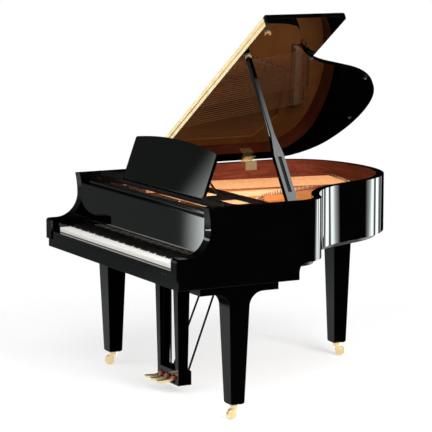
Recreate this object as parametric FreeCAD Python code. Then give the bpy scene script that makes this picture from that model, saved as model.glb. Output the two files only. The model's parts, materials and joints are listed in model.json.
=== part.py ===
import FreeCAD, Part
import math
import os

# Grand piano with its lid propped open.
# Millimetres. X runs across the keyboard with the treble at +X, Y from the key slip to the tail, Z up.

# Case outline in plan
shoulder_y = 644.5
shoulder_radius_share = 0.223
shoulder_turn = 69.5
waist_radius_share = 0.736
waist_turn = 48.7
bentside_straight_share = 0.2315
tail_treble_radius_share = 0.696
tail_treble_turn = 57.0
tail_radius_share = 1.024
tail_turn = 32.4

# Case heights and walls
keybed_bottom = 625.0
rim_step = 38.0
rim_height = 281.0
rim_wall = 38.0
arm_lining = 18.0
keybed_thickness = 42.0
keybed_back_y = 622.0
keybed_front_y = 4.0
keybed_side_inset = 2.0
rim_lap = 40.0

# Front arms with their scrolled ends
arm_front_y = -7.0
arm_nose_radius = 14.0
scroll_top_y = 153.0
scroll_sweep = 11.0
scroll_drop = 101.0
arm_height = 101.0

# Keyboard surround
slip_depth = 20.0
slip_height = 40.0
slip_bead_height = 18.0
slip_bead_proud = 2.5
key_block_width = 39.0
key_block_gap = 5.5
key_block_slip_gap = 0.5
key_block_depth = 184.5
key_block_fall_gap = 1.0
stretcher_fall_gap = 4.0
stretcher_thickness = 40.0
stretcher_foot_gap = 18.0
stretcher_drop = 31.0

# Keys
note_names = ("c", "c_sharp", "d", "d_sharp", "e", "f", "f_sharp", "g", "g_sharp", "a", "a_sharp", "b")
white_step_counts = (0, 2, 4, 5, 7, 9, 11)
keys_left_out_count = 9
white_key_count = 52
keyboard_span = 1225.0
key_gap = 0.96
key_slip_gap = 4.0
key_length = 401.0
key_lift = 42.0
white_key_height = 22.0
white_head_length = 50.0
black_key_width = 11.0
black_key_front_gap = 1.5
black_key_cap_length = 102.5
black_key_rise = 12.0
black_key_slope = 7.0
key_seat_gap = 0.3
balance_inset = 226.0

# Key frame under the keys
frame_front_rail_inset = 6.0
frame_front_rail_depth = 40.0
frame_front_rail_height = 30.0
frame_balance_rail_depth = 30.0
balance_bead_depth = 8.0
balance_bead_height = 5.0
frame_back_rail_depth = 30.0
frame_tie_width = 36.0
frame_tie_height = 18.0
frame_tie_shares = (-0.98, -0.36, 0.36, 0.98)
frame_end_inset = 6.5

# Hammers and the rail they hinge on
hammer_shank_length = 106.0
hammer_pivot_drop = 82.0
hammer_width = 8.6
hammer_shank_half = 4.0
hammer_head_past_agraffes = 24.0
hammer_head_depth = 18.0
hammer_head_height = 56.0
hammer_head_drop = 36.0
hammer_tip_depth = 8.0
hammer_tip_shift = 4.0
hammer_butt_gap = 0.4
hammer_nose_half = 0.8
hammer_butt_taper = 4.0
action_rail_depth = 24.0
action_rail_height = 30.0
action_post_width = 24.0
action_end_reach = 27.5

# Strings: notes counted from the lowest, in sections parted by plate struts
note_count = 88
bass_last_note = 26
single_last_note = 8
section_last_notes = (26, 46, 66, 88)
string_band_inset = 28.4
section_break = 24.0
string_spread = 3.5
bass_string_spread = 4.4
string_size = 1.2
bass_string_size = 2.2
string_lift = 11.0
bass_string_lift = 18.0
agraffe_y = 412.0
top_string_length = 54.0
string_octave_ratio = 1.72
string_tail = 52.0
bass_string_tail_gap = 117.0
bass_string_end_step = 2.6
bass_string_slant_share = 0.155

# Tuning pins
pin_size = 5.0
pin_first_inset = 112.0
pin_row = 30.0
pin_above_string = 20.0
string_pin_gap = 0.3

# Pin block, plate, soundboard and bridges
pinblock_front_gap = 20.0
pinblock_depth = 160.0
pinblock_thickness = 30.0
plate_thickness = 12.0
plate_lift = 16.0
plate_edge_gap = 2.0
plate_web_past_agraffes = 6.0
plate_hitch_margin = 26.0
plate_strut_width = 13.0
plate_strut_height = 22.0
plate_strut_front_inset = 18.0
plate_strut_rise = 40.0
plate_strut_tails = (30.0, 233.0, 222.0)
plate_bass_side = 42.0
plate_bass_corner = 120.0
plate_bass_web = 137.0
plate_boss_radius = 11.0
plate_boss_inset = 30.0
soundboard_thickness = 9.0
rib_height = 20.0
rib_width = 24.0
rib_first_y = 620.0
rib_pitch = 105.0
rib_count = 9
rib_end_gap = 0.2
bridge_half_depth = 14.0
bridge_string_gap = 0.4
bridge_clearance = 4.0
bridge_note_step = 6
bass_bridge_depth = 30.0
bass_bridge_before_end = 58.0
bass_bridge_overrun = 20.0

# Inner rim, belly rail and back beams
inner_rim_wall = 44.0
inner_rim_lift = 13.0
inner_rim_height = 176.0
belly_rail_past_agraffes = 93.0
belly_rail_depth = 40.0
beam_width = 62.0
beam_height = 75.0
beam_shares = (-0.77, -0.09, 0.27)

# Dampers
damped_note_count = 66
damper_past_agraffes = 60.0
damper_depth = 38.0
damper_height = 22.0
damper_width = 10.0
damper_gap = 0.3

# Legs
leg_side_inset = 72.0
front_leg_y = 322.0
rear_leg_x = -298.0
rear_leg_inset = 140.0
leg_bottom = 70.0
leg_foot = 70.0
leg_head = 102.0
leg_foot_chamfer = 7.0
leg_bracket_radius = 70.0
rear_bracket_radius = 36.0
leg_block_thickness = 36.0
leg_block_length = 402.0
rear_block_length = 210.0
rear_block_thickness = 30.0

# Casters
socket_radius = 21.0
socket_height = 14.0
stem_radius = 5.0
running_gap = 0.05
stem_end_gap = 1.0
crown_radius = 19.0
crown_top = 55.7
crown_bottom = 51.0
wheel_radius = 25.0
wheel_half_width = 11.0
wheel_crown = 1.6
wheel_bore_gap = 0.05
caster_axle_radius = 3.0
fork_plate = 3.2
fork_gap = 0.5
fork_boss_radius = 8.0
caster_trail = 17.0
front_left_caster_turn = 240.0
front_right_caster_turn = 282.0
rear_caster_turn = 60.0

# Pedal lyre
lyre_post_x = 95.0
lyre_post_width = 30.0
lyre_post_depth = 51.0
lyre_box_half_width = 110.0
lyre_box_front_y = 309.0
lyre_box_depth = 70.0
lyre_box_bottom = 42.0
lyre_box_height = 68.0
lyre_box_wall = 8.0
lyre_post_head_width = 50.0
lyre_post_head_depth = 68.0
lyre_head_height = 28.0
pedal_pitch = 66.0
pedal_width = 18.0
pedal_tip_width = 34.0
pedal_reach = 92.0
pedal_tip_length = 62.0
pedal_thickness = 13.0
pedal_drop = 10.0
pedal_pivot_inset = 28.0
pedal_pivot_rise = 32.0
pedal_tail = 29.0
pedal_axle_radius = 4.0
pedal_slot_gap = 3.0
pedal_slot_height = 40.0
rod_radius = 4.0
rod_pivot_gap = 23.0
rod_seat_gap = 0.3
rod_top_gap = 8.0
rod_hole_gap = 1.0
brace_radius = 5.0
brace_foot_rise = 58.0
brace_head_inset = 32.0
brace_foot_x = 76.0
brace_head_x = 60.0

# Fallboard over the keys
fall_pivot_y = 169.0
fall_pivot_lift = 101.0
fall_face = 10.0
fall_thickness = 18.0
fall_height = 172.0
fall_lean = 1.0
fall_end_gap = 2.0
fall_pin_radius = 4.0
fall_pin_length = 12.0
fall_nose_radius = 6.0

# Music desk
desk_half_width = 418.0
desk_height = 239.0
desk_thickness = 16.0
desk_lean = 20.0
desk_pivot_inset = 24.0
desk_pivot_gap = 0.4
desk_corner_radius = 14.0
desk_crown = 26.0
desk_pin_radius = 3.0
desk_pin_length = 16.0
desk_ear_thickness = 12.0
desk_ear_half_depth = 12.0
desk_ear_gap = 0.5
desk_frame_side_gap = 23.0
desk_frame_front_gap = 38.0
desk_frame_depth = 258.0
desk_frame_drop = 26.0
desk_frame_thickness = 16.0
desk_frame_front_bar = 46.0
desk_frame_back_bar = 40.0
desk_frame_side_bar = 54.0
desk_wing_rise = 20.0
desk_wing_thickness = 14.0
desk_wing_length = 190.0
desk_stay_x = 330.0
desk_stay_width = 16.0
desk_stay_thickness = 6.0
desk_stay_back = 130.0
desk_stay_reach = 110.0
desk_stay_seat_gap = 0.4
desk_stay_pin_radius = 3.0
desk_stay_slot_front = 16.0
desk_rail_width = 36.0
desk_rail_height = 14.0
desk_rail_front_gap = 22.0
desk_rail_prop_gap = 3.0

# Lid, opened about the spine
lid_open = 33.0
lid_gap = 2.0
lid_thickness = 22.0
lid_overhang = 12.0
lid_fold_y = 573.0
lid_front_overhang = 17.0
lid_flap_corner = 26.0
lid_hinge_offset = 6.0
lid_hinge_radius = 4.0
lid_hinge_pin_radius = 2.0
lid_hinge_length = 66.0
lid_hinge_shares = (0.0406, 0.5294)
lid_leaf_width = 40.0
lid_leaf_thickness = 0.9
lid_leaf_drop = 44.0
fold_leaf_thickness = 2.0
fold_leaf_gap = 0.2
fold_leaf_height = 18.5
fold_leaf_margin = 12.0
fold_axis_rise = 2.0
fold_knuckle_radius = 2.6
fold_pin_radius = 1.25
fold_knuckle_count = 9
fold_knuckle_gap = 0.5
fold_leaf_relief = 1.5

# Lid prop and its fittings
prop_pivot_inset = 20.0
prop_pivot_drop = 14.0
prop_shoulder_gap = 32.5
prop_along_lid = 1144.0
half_prop_along_lid = 1362.0
prop_base_width = 51.0
prop_top_width = 18.0
prop_base_length = 240.0
prop_neck_length = 105.0
prop_thickness = 25.0
prop_tip_radius = 7.0
prop_tip_length = 14.0
prop_tip_gap = 0.8
prop_slot_width = 19.0
prop_slot_start = 50.0
prop_slot_end_margin = 10.0
half_prop_gap = 0.5
half_prop_thickness = 12.0
prop_pin_radius = 4.0
prop_ear_thickness = 6.0
prop_ear_gap = 0.5
prop_ear_height = 30.0
prop_ear_reach = 15.0
prop_plate_thickness = 4.0
prop_plate_height = 56.0
cup_outer_radius = 16.0
cup_inner_radius = 10.0
cup_depth = 8.0

cut_overrun = 5.0

# Widths that follow from the keyboard
case_half_width = keyboard_span / 2 + key_block_gap + key_block_width + arm_lining + rim_wall
arm_inner_x = case_half_width - rim_wall - arm_lining
rim_inner_x = case_half_width - rim_wall
frame_half_length = keyboard_span / 2 - frame_end_inset
action_half_length = keyboard_span / 2 + action_end_reach
leg_x = case_half_width - leg_side_inset
desk_frame_half_width = rim_inner_x - desk_frame_side_gap
prop_pivot_x = rim_inner_x - prop_pivot_inset
hinge_x = -case_half_width - lid_hinge_offset
shoulder_radius = shoulder_radius_share * case_half_width
waist_radius = waist_radius_share * case_half_width
bentside_straight = bentside_straight_share * case_half_width
tail_treble_radius = tail_treble_radius_share * case_half_width
tail_radius = tail_radius_share * case_half_width

# Heights that stack up from the key bed
keybed_top = keybed_bottom + keybed_thickness
rim_bottom = keybed_top + rim_step
rim_top = rim_bottom + rim_height
scroll_back_z = rim_top - scroll_drop
scroll_flat_z = keybed_top + arm_height
key_bottom = keybed_top + key_lift
key_top = key_bottom + white_key_height
fall_pivot_z = keybed_top + fall_pivot_lift
key_block_top = fall_pivot_z - fall_face - key_block_fall_gap
stretcher_bottom = key_block_top + stretcher_foot_gap
stretcher_top = rim_top - stretcher_drop
inner_rim_bottom = keybed_top + inner_rim_lift
soundboard_top = inner_rim_bottom + inner_rim_height + soundboard_thickness
plate_bottom = soundboard_top + plate_lift
plate_top = plate_bottom + plate_thickness
plate_strut_top = plate_top + plate_strut_height
string_height = plate_top + string_lift
bass_string_height = string_height + bass_string_lift
hammer_pivot_z = string_height - hammer_pivot_drop
hammer_head_top = string_height - hammer_head_drop
hammer_head_bottom = hammer_head_top - hammer_head_height
desk_frame_bottom = rim_top - desk_frame_drop
desk_frame_top = desk_frame_bottom + desk_frame_thickness
desk_pivot_z = desk_frame_top + desk_thickness / 2 + desk_pivot_gap
lid_bottom = rim_top + lid_gap
lid_top = lid_bottom + lid_thickness
hinge_z = rim_top + lid_gap / 2
fold_axis_z = lid_top + fold_axis_rise
prop_pivot_z = rim_top - prop_pivot_drop
lyre_box_top = lyre_box_bottom + lyre_box_height
pedal_pivot_z = lyre_box_bottom + pedal_pivot_rise
brace_foot_z = lyre_box_bottom + brace_foot_rise

# Depths that follow from the key slip, the agraffes and the case
scroll_back_y = scroll_top_y + scroll_sweep
key_front_y = slip_depth + key_slip_gap
key_back_y = key_front_y + key_length
balance_y = key_front_y + balance_inset
key_block_front_y = slip_depth + key_block_slip_gap
key_block_back_y = key_block_front_y + key_block_depth
fall_top_y = fall_pivot_y + fall_height * math.sin(math.radians(fall_lean))
stretcher_front_y = fall_top_y + fall_thickness - fall_face + stretcher_fall_gap
stretcher_back_y = stretcher_front_y + stretcher_thickness
arm_lining_back_y = stretcher_back_y
frame_front_rail_y = key_front_y + frame_front_rail_inset
frame_back_rail_y = key_back_y - frame_back_rail_depth
pinblock_front_y = stretcher_back_y + pinblock_front_gap
pinblock_back_y = pinblock_front_y + pinblock_depth
pin_first_y = agraffe_y - pin_first_inset
plate_opening_front_y = agraffe_y + plate_web_past_agraffes
plate_strut_front_y = pinblock_front_y + plate_strut_front_inset
hammer_head_y = agraffe_y + hammer_head_past_agraffes
hammer_pivot_y = hammer_head_y - hammer_shank_length
damper_front_y = agraffe_y + damper_past_agraffes
belly_rail_y = agraffe_y + belly_rail_past_agraffes
desk_frame_front_y = stretcher_back_y + desk_frame_front_gap
desk_frame_back_y = desk_frame_front_y + desk_frame_depth
desk_pivot_y = desk_frame_front_y + desk_pivot_inset
prop_y = shoulder_y - prop_shoulder_gap
prop_bracket_half = prop_base_width / 2 + prop_ear_gap + prop_ear_thickness
desk_rail_front_y = stretcher_back_y + desk_rail_front_gap
desk_rail_back_y = prop_y - prop_bracket_half - desk_rail_prop_gap
lid_front_y = scroll_top_y - lid_front_overhang
pedal_pivot_y = lyre_box_front_y + pedal_pivot_inset
pedal_end_y = pedal_pivot_y + pedal_tail
pedal_tip_y = lyre_box_front_y - pedal_reach
rod_y = pedal_pivot_y + rod_pivot_gap
lyre_post_y = lyre_box_front_y + lyre_post_depth / 2
brace_head_y = keybed_back_y - brace_head_inset


def vector(x, y, z):
    return FreeCAD.Vector(x, y, z)


def in_plane(plane, pair):
    # A point of an outline drawn in the xy, yz or xz plane.
    first, second = pair
    if plane == "xy":
        return vector(first, second, 0)
    if plane == "yz":
        return vector(0, first, second)
    return vector(first, 0, second)


def normal_of(plane):
    return {"xy": vector(0, 0, 1), "yz": vector(1, 0, 0), "xz": vector(0, 1, 0)}[plane]


def arc_middle(centre, start, end):
    # The point halfway along the shorter arc from start to end.
    across = (start[0] + end[0] - 2 * centre[0], start[1] + end[1] - 2 * centre[1])
    radius = math.dist(centre, start)
    share = radius / math.hypot(*across)
    return (centre[0] + across[0] * share, centre[1] + across[1] * share)


def arc_step(centre, start, end):
    # The step of an outline that goes round this centre to its end.
    return arc_middle(centre, start, end), end


def face(plane, steps):
    # A closed outline: each step is a point to go to straight, or an arc's middle and end points.
    edges = []
    here = steps[0]
    for step in steps[1:] + [steps[0]]:
        curved = isinstance(step[0], tuple)
        there = step[1] if curved else step
        if math.dist(here, there) > 0:
            start, end = in_plane(plane, here), in_plane(plane, there)
            if curved:
                edges.append(Part.Arc(start, in_plane(plane, step[0]), end).toShape())
            else:
                edges.append(Part.LineSegment(start, end).toShape())
        here = there
    return Part.Face(Part.Wire(edges))


def prism(plane, steps, low, high):
    normal = normal_of(plane)
    return face(plane, steps).translated(normal * low).extrude(normal * (high - low))


def box(x_range, y_range, z_range):
    sizes = [high - low for low, high in (x_range, y_range, z_range)]
    return Part.makeBox(*sizes, vector(x_range[0], y_range[0], z_range[0]))


def bar(axis, radius, centre, low, high):
    # A round bar along one axis; centre gives the other two coordinates in order.
    first, second = centre
    if axis == "x":
        return Part.makeCylinder(radius, high - low, vector(low, first, second), vector(1, 0, 0))
    if axis == "y":
        return Part.makeCylinder(radius, high - low, vector(first, low, second), vector(0, 1, 0))
    return Part.makeCylinder(radius, high - low, vector(first, second, low), vector(0, 0, 1))


def fused(shapes):
    return shapes[0].multiFuse(shapes[1:]).removeSplitter()


def mirrored(shape):
    return shape.mirror(vector(0, 0, 0), vector(1, 0, 0))


def both_sides(shape):
    return [shape, mirrored(shape)]


def plan_steps(inset, front_y, spine_inset=None):
    # The case in plan, inset from its outer face, from front_y round the tail to the spine.
    spine_x = -case_half_width + (inset if spine_inset is None else spine_inset)
    here = (case_half_width - inset, shoulder_y)
    heading = math.pi / 2
    steps = [(here[0], front_y), here]

    def turn(here, heading, radius, angle):
        side = math.copysign(1, angle)
        reach = (radius - side * inset) * side
        centre = (here[0] - reach * math.sin(heading), here[1] + reach * math.cos(heading))
        end_heading = heading + math.radians(angle)
        end = (centre[0] + reach * math.sin(end_heading), centre[1] - reach * math.cos(end_heading))
        return arc_step(centre, here, end), end_heading

    step, heading = turn(here, heading, shoulder_radius, shoulder_turn)
    steps.append(step)
    step, heading = turn(step[1], heading, waist_radius, -waist_turn)
    steps.append(step)
    bend_x, bend_y = step[1]
    here = (bend_x + bentside_straight * math.cos(heading), bend_y + bentside_straight * math.sin(heading))
    steps.append(here)
    step, heading = turn(here, heading, tail_treble_radius, tail_treble_turn)
    steps.append(step)
    step, heading = turn(step[1], heading, tail_radius, tail_turn)
    steps.append(step)
    corner_radius = (step[1][0] - spine_x) / (1 + math.sin(heading))
    centre = (spine_x + corner_radius, step[1][1] + corner_radius * math.cos(heading))
    end = (spine_x, centre[1])
    steps.append(arc_step(centre, step[1], end))
    steps.append((spine_x, front_y))
    return steps


def tail_y():
    return face("xy", plan_steps(0, shoulder_y)).BoundBox.YMax


def rear_leg_y():
    return tail_y() - rear_leg_inset


def plan_prism(inset, front_y, low, high, spine_inset=None):
    return prism("xy", plan_steps(inset, front_y, spine_inset), low, high)


def arm_steps(back_y):
    # Side view of an arm: the scroll, the nose, and the edge that meets the key bed.
    dip = scroll_back_y - scroll_top_y
    drop = rim_top - scroll_back_z
    upper_radius = (dip * dip + drop * drop) / (2 * dip)
    lower_radius = scroll_back_z - scroll_flat_z
    top, middle = (scroll_top_y, rim_top), (scroll_back_y, scroll_back_z)
    foot = (scroll_back_y - lower_radius, scroll_flat_z)
    nose_top = (arm_front_y + arm_nose_radius, scroll_flat_z)
    nose_front = (arm_front_y, scroll_flat_z - arm_nose_radius)
    steps = [(back_y, rim_top), top]
    steps.append(arc_step((scroll_back_y - upper_radius, scroll_back_z), top, middle))
    steps.append(arc_step((foot[0], scroll_back_z), middle, foot))
    steps.append(nose_top)
    steps.append(arc_step((nose_top[0], nose_front[1]), nose_top, nose_front))
    steps.append((arm_front_y, keybed_top))
    return steps


def outer_rim():
    rise = rim_bottom - keybed_top
    cove_end_y = keybed_back_y + rise
    back_y = cove_end_y + rim_lap
    cove_start, cove_end = (keybed_back_y, keybed_top), (cove_end_y, rim_bottom)
    side_steps = arm_steps(back_y) + [cove_start]
    side_steps.append(arc_step((cove_end_y, keybed_top), cove_start, cove_end))
    side_steps.append((back_y, rim_bottom))
    side = prism("yz", side_steps, rim_inner_x, case_half_width)
    lining_steps = arm_steps(arm_lining_back_y) + [(arm_lining_back_y, keybed_top)]
    lining = prism("yz", lining_steps, arm_inner_x, rim_inner_x)
    pivot = bar("x", fall_pin_radius + running_gap, (fall_pivot_y, fall_pivot_z), arm_inner_x, rim_inner_x)
    arm = side.fuse(lining.cut(pivot))
    bent = plan_prism(0, shoulder_y, rim_bottom, rim_top)
    hollow = plan_prism(rim_wall, shoulder_y - cut_overrun, rim_bottom - cut_overrun, rim_top + cut_overrun)
    return fused(both_sides(arm) + [bent.cut(hollow)])


def inner_rim():
    front_y = belly_rail_y + belly_rail_depth
    top = soundboard_top - soundboard_thickness
    outer = plan_prism(rim_wall, front_y, inner_rim_bottom, top)
    hollow = plan_prism(rim_wall + inner_rim_wall, front_y - cut_overrun,
                        inner_rim_bottom - cut_overrun, top + cut_overrun)
    return outer.cut(hollow)


def keybed():
    half = case_half_width - keybed_side_inset
    return box((-half, half), (keybed_front_y, keybed_back_y), (keybed_bottom, keybed_top))


def key_slip():
    top = keybed_top + slip_height
    bead_top = keybed_top + slip_bead_height
    board = box((-arm_inner_x, arm_inner_x), (0, slip_depth), (keybed_top, top))
    bead = bar("x", slip_bead_proud, (0, bead_top), -arm_inner_x, arm_inner_x)
    return fused([board, bead])


def key_blocks():
    inner_x = arm_inner_x - key_block_width
    block = box((inner_x, arm_inner_x), (key_block_front_y, key_block_back_y), (keybed_top, key_block_top))
    return Part.makeCompound(both_sides(block))


def stretcher():
    return box((-arm_inner_x, arm_inner_x), (stretcher_front_y, stretcher_back_y),
               (stretcher_bottom, stretcher_top))


def key_places():
    # Each key as its tone in the octave, the left edge of its octave, and whether it is first or last.
    white_pitch = keyboard_span / white_key_count
    octave = white_pitch * len(white_step_counts)
    left = -keyboard_span / 2 - white_step_counts.index(keys_left_out_count) * white_pitch
    last = keys_left_out_count + note_count - 1
    for count in range(keys_left_out_count, last + 1):
        tone = count % len(note_names)
        yield tone, left + octave * (count // len(note_names)), count == keys_left_out_count, count == last


def white_key(tone, octave_left, first, last):
    white_pitch = keyboard_span / white_key_count
    slot = white_pitch * len(white_step_counts) / len(note_names)
    head_left = octave_left + white_step_counts.index(tone) * white_pitch + key_gap / 2
    head_right = head_left + white_pitch - key_gap
    side = black_key_width / 2 + key_gap
    tail_left, tail_right = head_left, head_right
    if tone - 1 not in white_step_counts and tone > 0 and not first:
        tail_left = octave_left + (tone - 1) * slot + slot / 2 + side
    if tone + 1 not in white_step_counts and tone + 1 < len(note_names) and not last:
        tail_right = octave_left + (tone + 1) * slot + slot / 2 - side
    head_back_y = key_front_y + white_head_length
    steps = [(head_left, key_front_y), (head_right, key_front_y), (head_right, head_back_y)]
    steps += [(tail_right, head_back_y), (tail_right, key_back_y), (tail_left, key_back_y)]
    steps += [(tail_left, head_back_y), (head_left, head_back_y)]
    return prism("xy", steps, key_bottom, key_top)


def black_key(tone, octave_left):
    slot = keyboard_span / white_key_count * len(white_step_counts) / len(note_names)
    left = octave_left + tone * slot + slot / 2 - black_key_width / 2
    cap_top = key_top + black_key_rise
    front_y = key_front_y + white_head_length + black_key_front_gap
    steps = [(front_y, key_bottom), (key_back_y, key_bottom), (key_back_y, key_top)]
    cap_back_y = front_y + black_key_cap_length
    steps += [(cap_back_y, key_top), (cap_back_y, cap_top)]
    steps += [(front_y + black_key_slope, cap_top), (front_y, key_top)]
    return prism("yz", steps, left, left + black_key_width)


def keys_by_name():
    groups = {name: [] for name in note_names}
    for tone, octave_left, first, last in key_places():
        if tone in white_step_counts:
            key = white_key(tone, octave_left, first, last)
        else:
            key = black_key(tone, octave_left)
        groups[note_names[tone]].append(key)
    return {name: Part.makeCompound(keys) for name, keys in groups.items()}


def key_frame():
    # Three rails across, the middle one with the bead the keys rock on, and ties between them.
    half = frame_half_length
    seat = key_bottom - key_seat_gap
    front_end = frame_front_rail_y + frame_front_rail_depth
    balance_front = balance_y - frame_balance_rail_depth / 2
    balance_end = balance_front + frame_balance_rail_depth
    bead_front = balance_y - balance_bead_depth / 2
    bead_bottom = seat - balance_bead_height
    front_top = keybed_top + frame_front_rail_height
    rails = [box((-half, half), (frame_front_rail_y, front_end), (keybed_top, front_top))]
    rails.append(box((-half, half), (balance_front, balance_end), (keybed_top, bead_bottom)))
    rails.append(box((-half, half), (bead_front, bead_front + balance_bead_depth), (bead_bottom, seat)))
    rails.append(box((-half, half), (frame_back_rail_y, key_back_y), (keybed_top, seat)))
    for share in frame_tie_shares:
        middle = share * (half - frame_tie_width / 2)
        rails.append(box((middle - frame_tie_width / 2, middle + frame_tie_width / 2),
                         (frame_front_rail_y, key_back_y), (keybed_top, keybed_top + frame_tie_height)))
    return fused(rails)


def note_x(note):
    # Strings stand at an even pitch, with a wider break at each strut of the plate.
    breaks = sum(note > last for last in section_last_notes[:-1])
    span = keyboard_span - 2 * string_band_inset
    note_pitch = (span - (len(section_last_notes) - 1) * section_break) / (note_count - 1)
    return -span / 2 + (note - 1) * note_pitch + breaks * section_break


def string_length(note):
    return top_string_length * string_octave_ratio ** ((note_count - note) / len(note_names))


def string_offsets(note):
    if note <= single_last_note:
        return (0,)
    if note <= bass_last_note:
        return (-bass_string_spread / 2, bass_string_spread / 2)
    return (-string_spread, 0, string_spread)


def string_x(note, y):
    # Where a note's strings are at this distance from the front; the bass ones slant.
    slant = bass_string_slant_share if note <= bass_last_note else 0
    return note_x(note) + slant * (y - agraffe_y)


def bass_end(note):
    end_y = tail_y() - bass_string_tail_gap - (note - 1) * bass_string_end_step
    return string_x(note, end_y), end_y


def pin_y(place):
    return pin_first_y + place * pin_row


def string_start_y(place):
    return pin_y(place) + pin_size / 2 + string_pin_gap


def string(note, place, offset, size, height, end_y):
    # A thin prism from its tuning pin to its end on the plate.
    start_y = string_start_y(place)
    start_x = string_x(note, start_y) + offset
    half = size / 2
    section = [(start_x - half, height), (start_x + half, height), (start_x, height + size)]
    across = string_x(note, end_y) - string_x(note, start_y)
    return face("xz", section).translated(vector(0, start_y, 0)).extrude(vector(across, end_y - start_y, 0))


def treble_strings():
    strings = []
    for note in range(bass_last_note + 1, note_count + 1):
        end_y = agraffe_y + string_length(note) + string_tail
        for place, offset in enumerate(string_offsets(note)):
            strings.append(string(note, place, offset, string_size, string_height, end_y))
    return Part.makeCompound(strings)


def bass_strings():
    # Overstrung: they slant over the tenor strings.
    strings = []
    for note in range(1, bass_last_note + 1):
        end_y = bass_end(note)[1]
        for place, offset in enumerate(string_offsets(note)):
            strings.append(string(note, place, offset, bass_string_size, bass_string_height, end_y))
    return Part.makeCompound(strings)


def tuning_pins():
    half = pin_size / 2
    pins = []
    for note in range(1, note_count + 1):
        top = (bass_string_height if note <= bass_last_note else string_height) + pin_above_string
        for place, offset in enumerate(string_offsets(note)):
            y = pin_y(place)
            x = string_x(note, y) + offset
            pins.append(box((x - half, x + half), (y - half, y + half), (plate_top, top)))
    return Part.makeCompound(pins)


def pinblock():
    return box((-rim_inner_x, rim_inner_x), (pinblock_front_y, pinblock_back_y),
               (plate_bottom - pinblock_thickness, plate_bottom))


def strut_xs():
    return [(note_x(last) + note_x(last + 1)) / 2 for last in section_last_notes[:-1]]


def plate_struts():
    struts = []
    for x, last, tail in zip(strut_xs(), section_last_notes, plate_strut_tails):
        end_y = agraffe_y + string_length(last + 1) + plate_hitch_margin + tail
        top_front_y = plate_strut_front_y + plate_strut_rise
        steps = [(plate_strut_front_y, plate_bottom), (end_y, plate_bottom), (end_y, plate_top)]
        steps += [(end_y - plate_strut_rise, plate_strut_top), (top_front_y, plate_strut_top)]
        steps.append((plate_strut_front_y, plate_top))
        struts.append(prism("yz", steps, x - plate_strut_width / 2, x + plate_strut_width / 2))
    return struts


def plate_openings():
    # One opening for each section of strings, from the front web to past the bridge.
    low, high = plate_bottom - cut_overrun, plate_top + cut_overrun
    front_y = plate_opening_front_y
    margin = plate_strut_width / 2
    xs = strut_xs()
    bass_left = -rim_inner_x + plate_bass_side
    bass_right = xs[0] - margin
    corner = plate_bass_corner
    back_y = bass_end(1)[1] - plate_bass_web
    steps = [(bass_left, front_y), (bass_right, front_y), (bass_right, back_y)]
    steps += [(bass_left + corner, back_y), (bass_left, back_y - corner)]
    openings = [prism("xy", steps, low, high)]
    rights = [x - margin for x in xs[1:]] + [note_x(note_count) + plate_hitch_margin]
    for index, (left, right) in enumerate(zip(xs, rights)):
        first, last = section_last_notes[index] + 1, section_last_notes[index + 1]
        left_y = agraffe_y + string_length(first) + plate_hitch_margin
        right_y = agraffe_y + string_length(last) + plate_hitch_margin
        middle_note = (first + last) / 2
        middle_y = agraffe_y + string_length(middle_note) + plate_hitch_margin
        middle_x = (left + margin + right) / 2
        steps = [(left + margin, front_y), (right, front_y), (right, right_y)]
        steps.append(((middle_x, middle_y), (left + margin, left_y)))
        openings.append(prism("xy", steps, low, high))
    openings.append(bass_bridge(bass_bridge_depth, bass_bridge_overrun + bass_bridge_depth, low, high))
    return openings


def plate_bosses():
    # Round feet that stand the plate on the rim's edge of the soundboard.
    inset = rim_wall + plate_boss_inset
    places = []
    for step in plan_steps(inset, belly_rail_y + belly_rail_depth)[1:-1]:
        places.append(step[1] if isinstance(step[0], tuple) else step)
    return [bar("z", plate_boss_radius, place, soundboard_top, plate_bottom) for place in places]


def iron_plate():
    sheet = plan_prism(rim_wall + plate_edge_gap, pinblock_front_y, plate_bottom, plate_top)
    sheet = sheet.cut(Part.makeCompound(plate_openings()))
    bridge_room = long_bridge(bridge_half_depth + bridge_clearance, plate_bottom - cut_overrun,
                              string_height + bridge_clearance / 2)
    return fused([sheet] + plate_struts() + plate_bosses()).cut(bridge_room)


def soundboard():
    return plan_prism(rim_wall, belly_rail_y, soundboard_top - soundboard_thickness, soundboard_top)


def soundboard_ribs():
    top = soundboard_top - soundboard_thickness
    inset = rim_wall + inner_rim_wall + rib_end_gap
    inside = plan_prism(inset, belly_rail_y + belly_rail_depth, top - rib_height, top)
    ribs = []
    for index in range(rib_count):
        y = rib_first_y + index * rib_pitch
        strip = box((-case_half_width, case_half_width), (y, y + rib_width), (top - rib_height, top))
        ribs += inside.common(strip).Solids
    return Part.makeCompound(ribs)


def long_bridge(half_depth, low, high):
    # It follows the ends of the speaking lengths in one curve.
    notes = list(range(note_count, bass_last_note, -bridge_note_step))
    curves = []
    for depth in (-half_depth, half_depth):
        curve = Part.BSplineCurve()
        points = [vector(note_x(note), agraffe_y + string_length(note) + depth, 0) for note in notes]
        curve.interpolate(points)
        curves.append(curve)
    front, back = curves
    ends = [Part.LineSegment(front.value(at), back.value(at)).toShape()
            for at in (front.FirstParameter, front.LastParameter)]
    outline = Part.Wire(Part.__sortEdges__([front.toShape(), ends[1], back.toShape(), ends[0]]))
    return Part.Face(outline).translated(vector(0, 0, low)).extrude(vector(0, 0, high - low))


def bass_bridge(half_depth, overrun, low, high):
    first_end, last_end = bass_end(1), bass_end(bass_last_note)
    near, far = bass_bridge_before_end + half_depth, bass_bridge_before_end - half_depth
    steps = [(first_end[0] - overrun, first_end[1] - near), (last_end[0] + overrun / 2, last_end[1] - near)]
    steps += [(last_end[0] + overrun / 2, last_end[1] - far), (first_end[0] - overrun, first_end[1] - far)]
    return prism("xy", steps, low, high)


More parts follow.
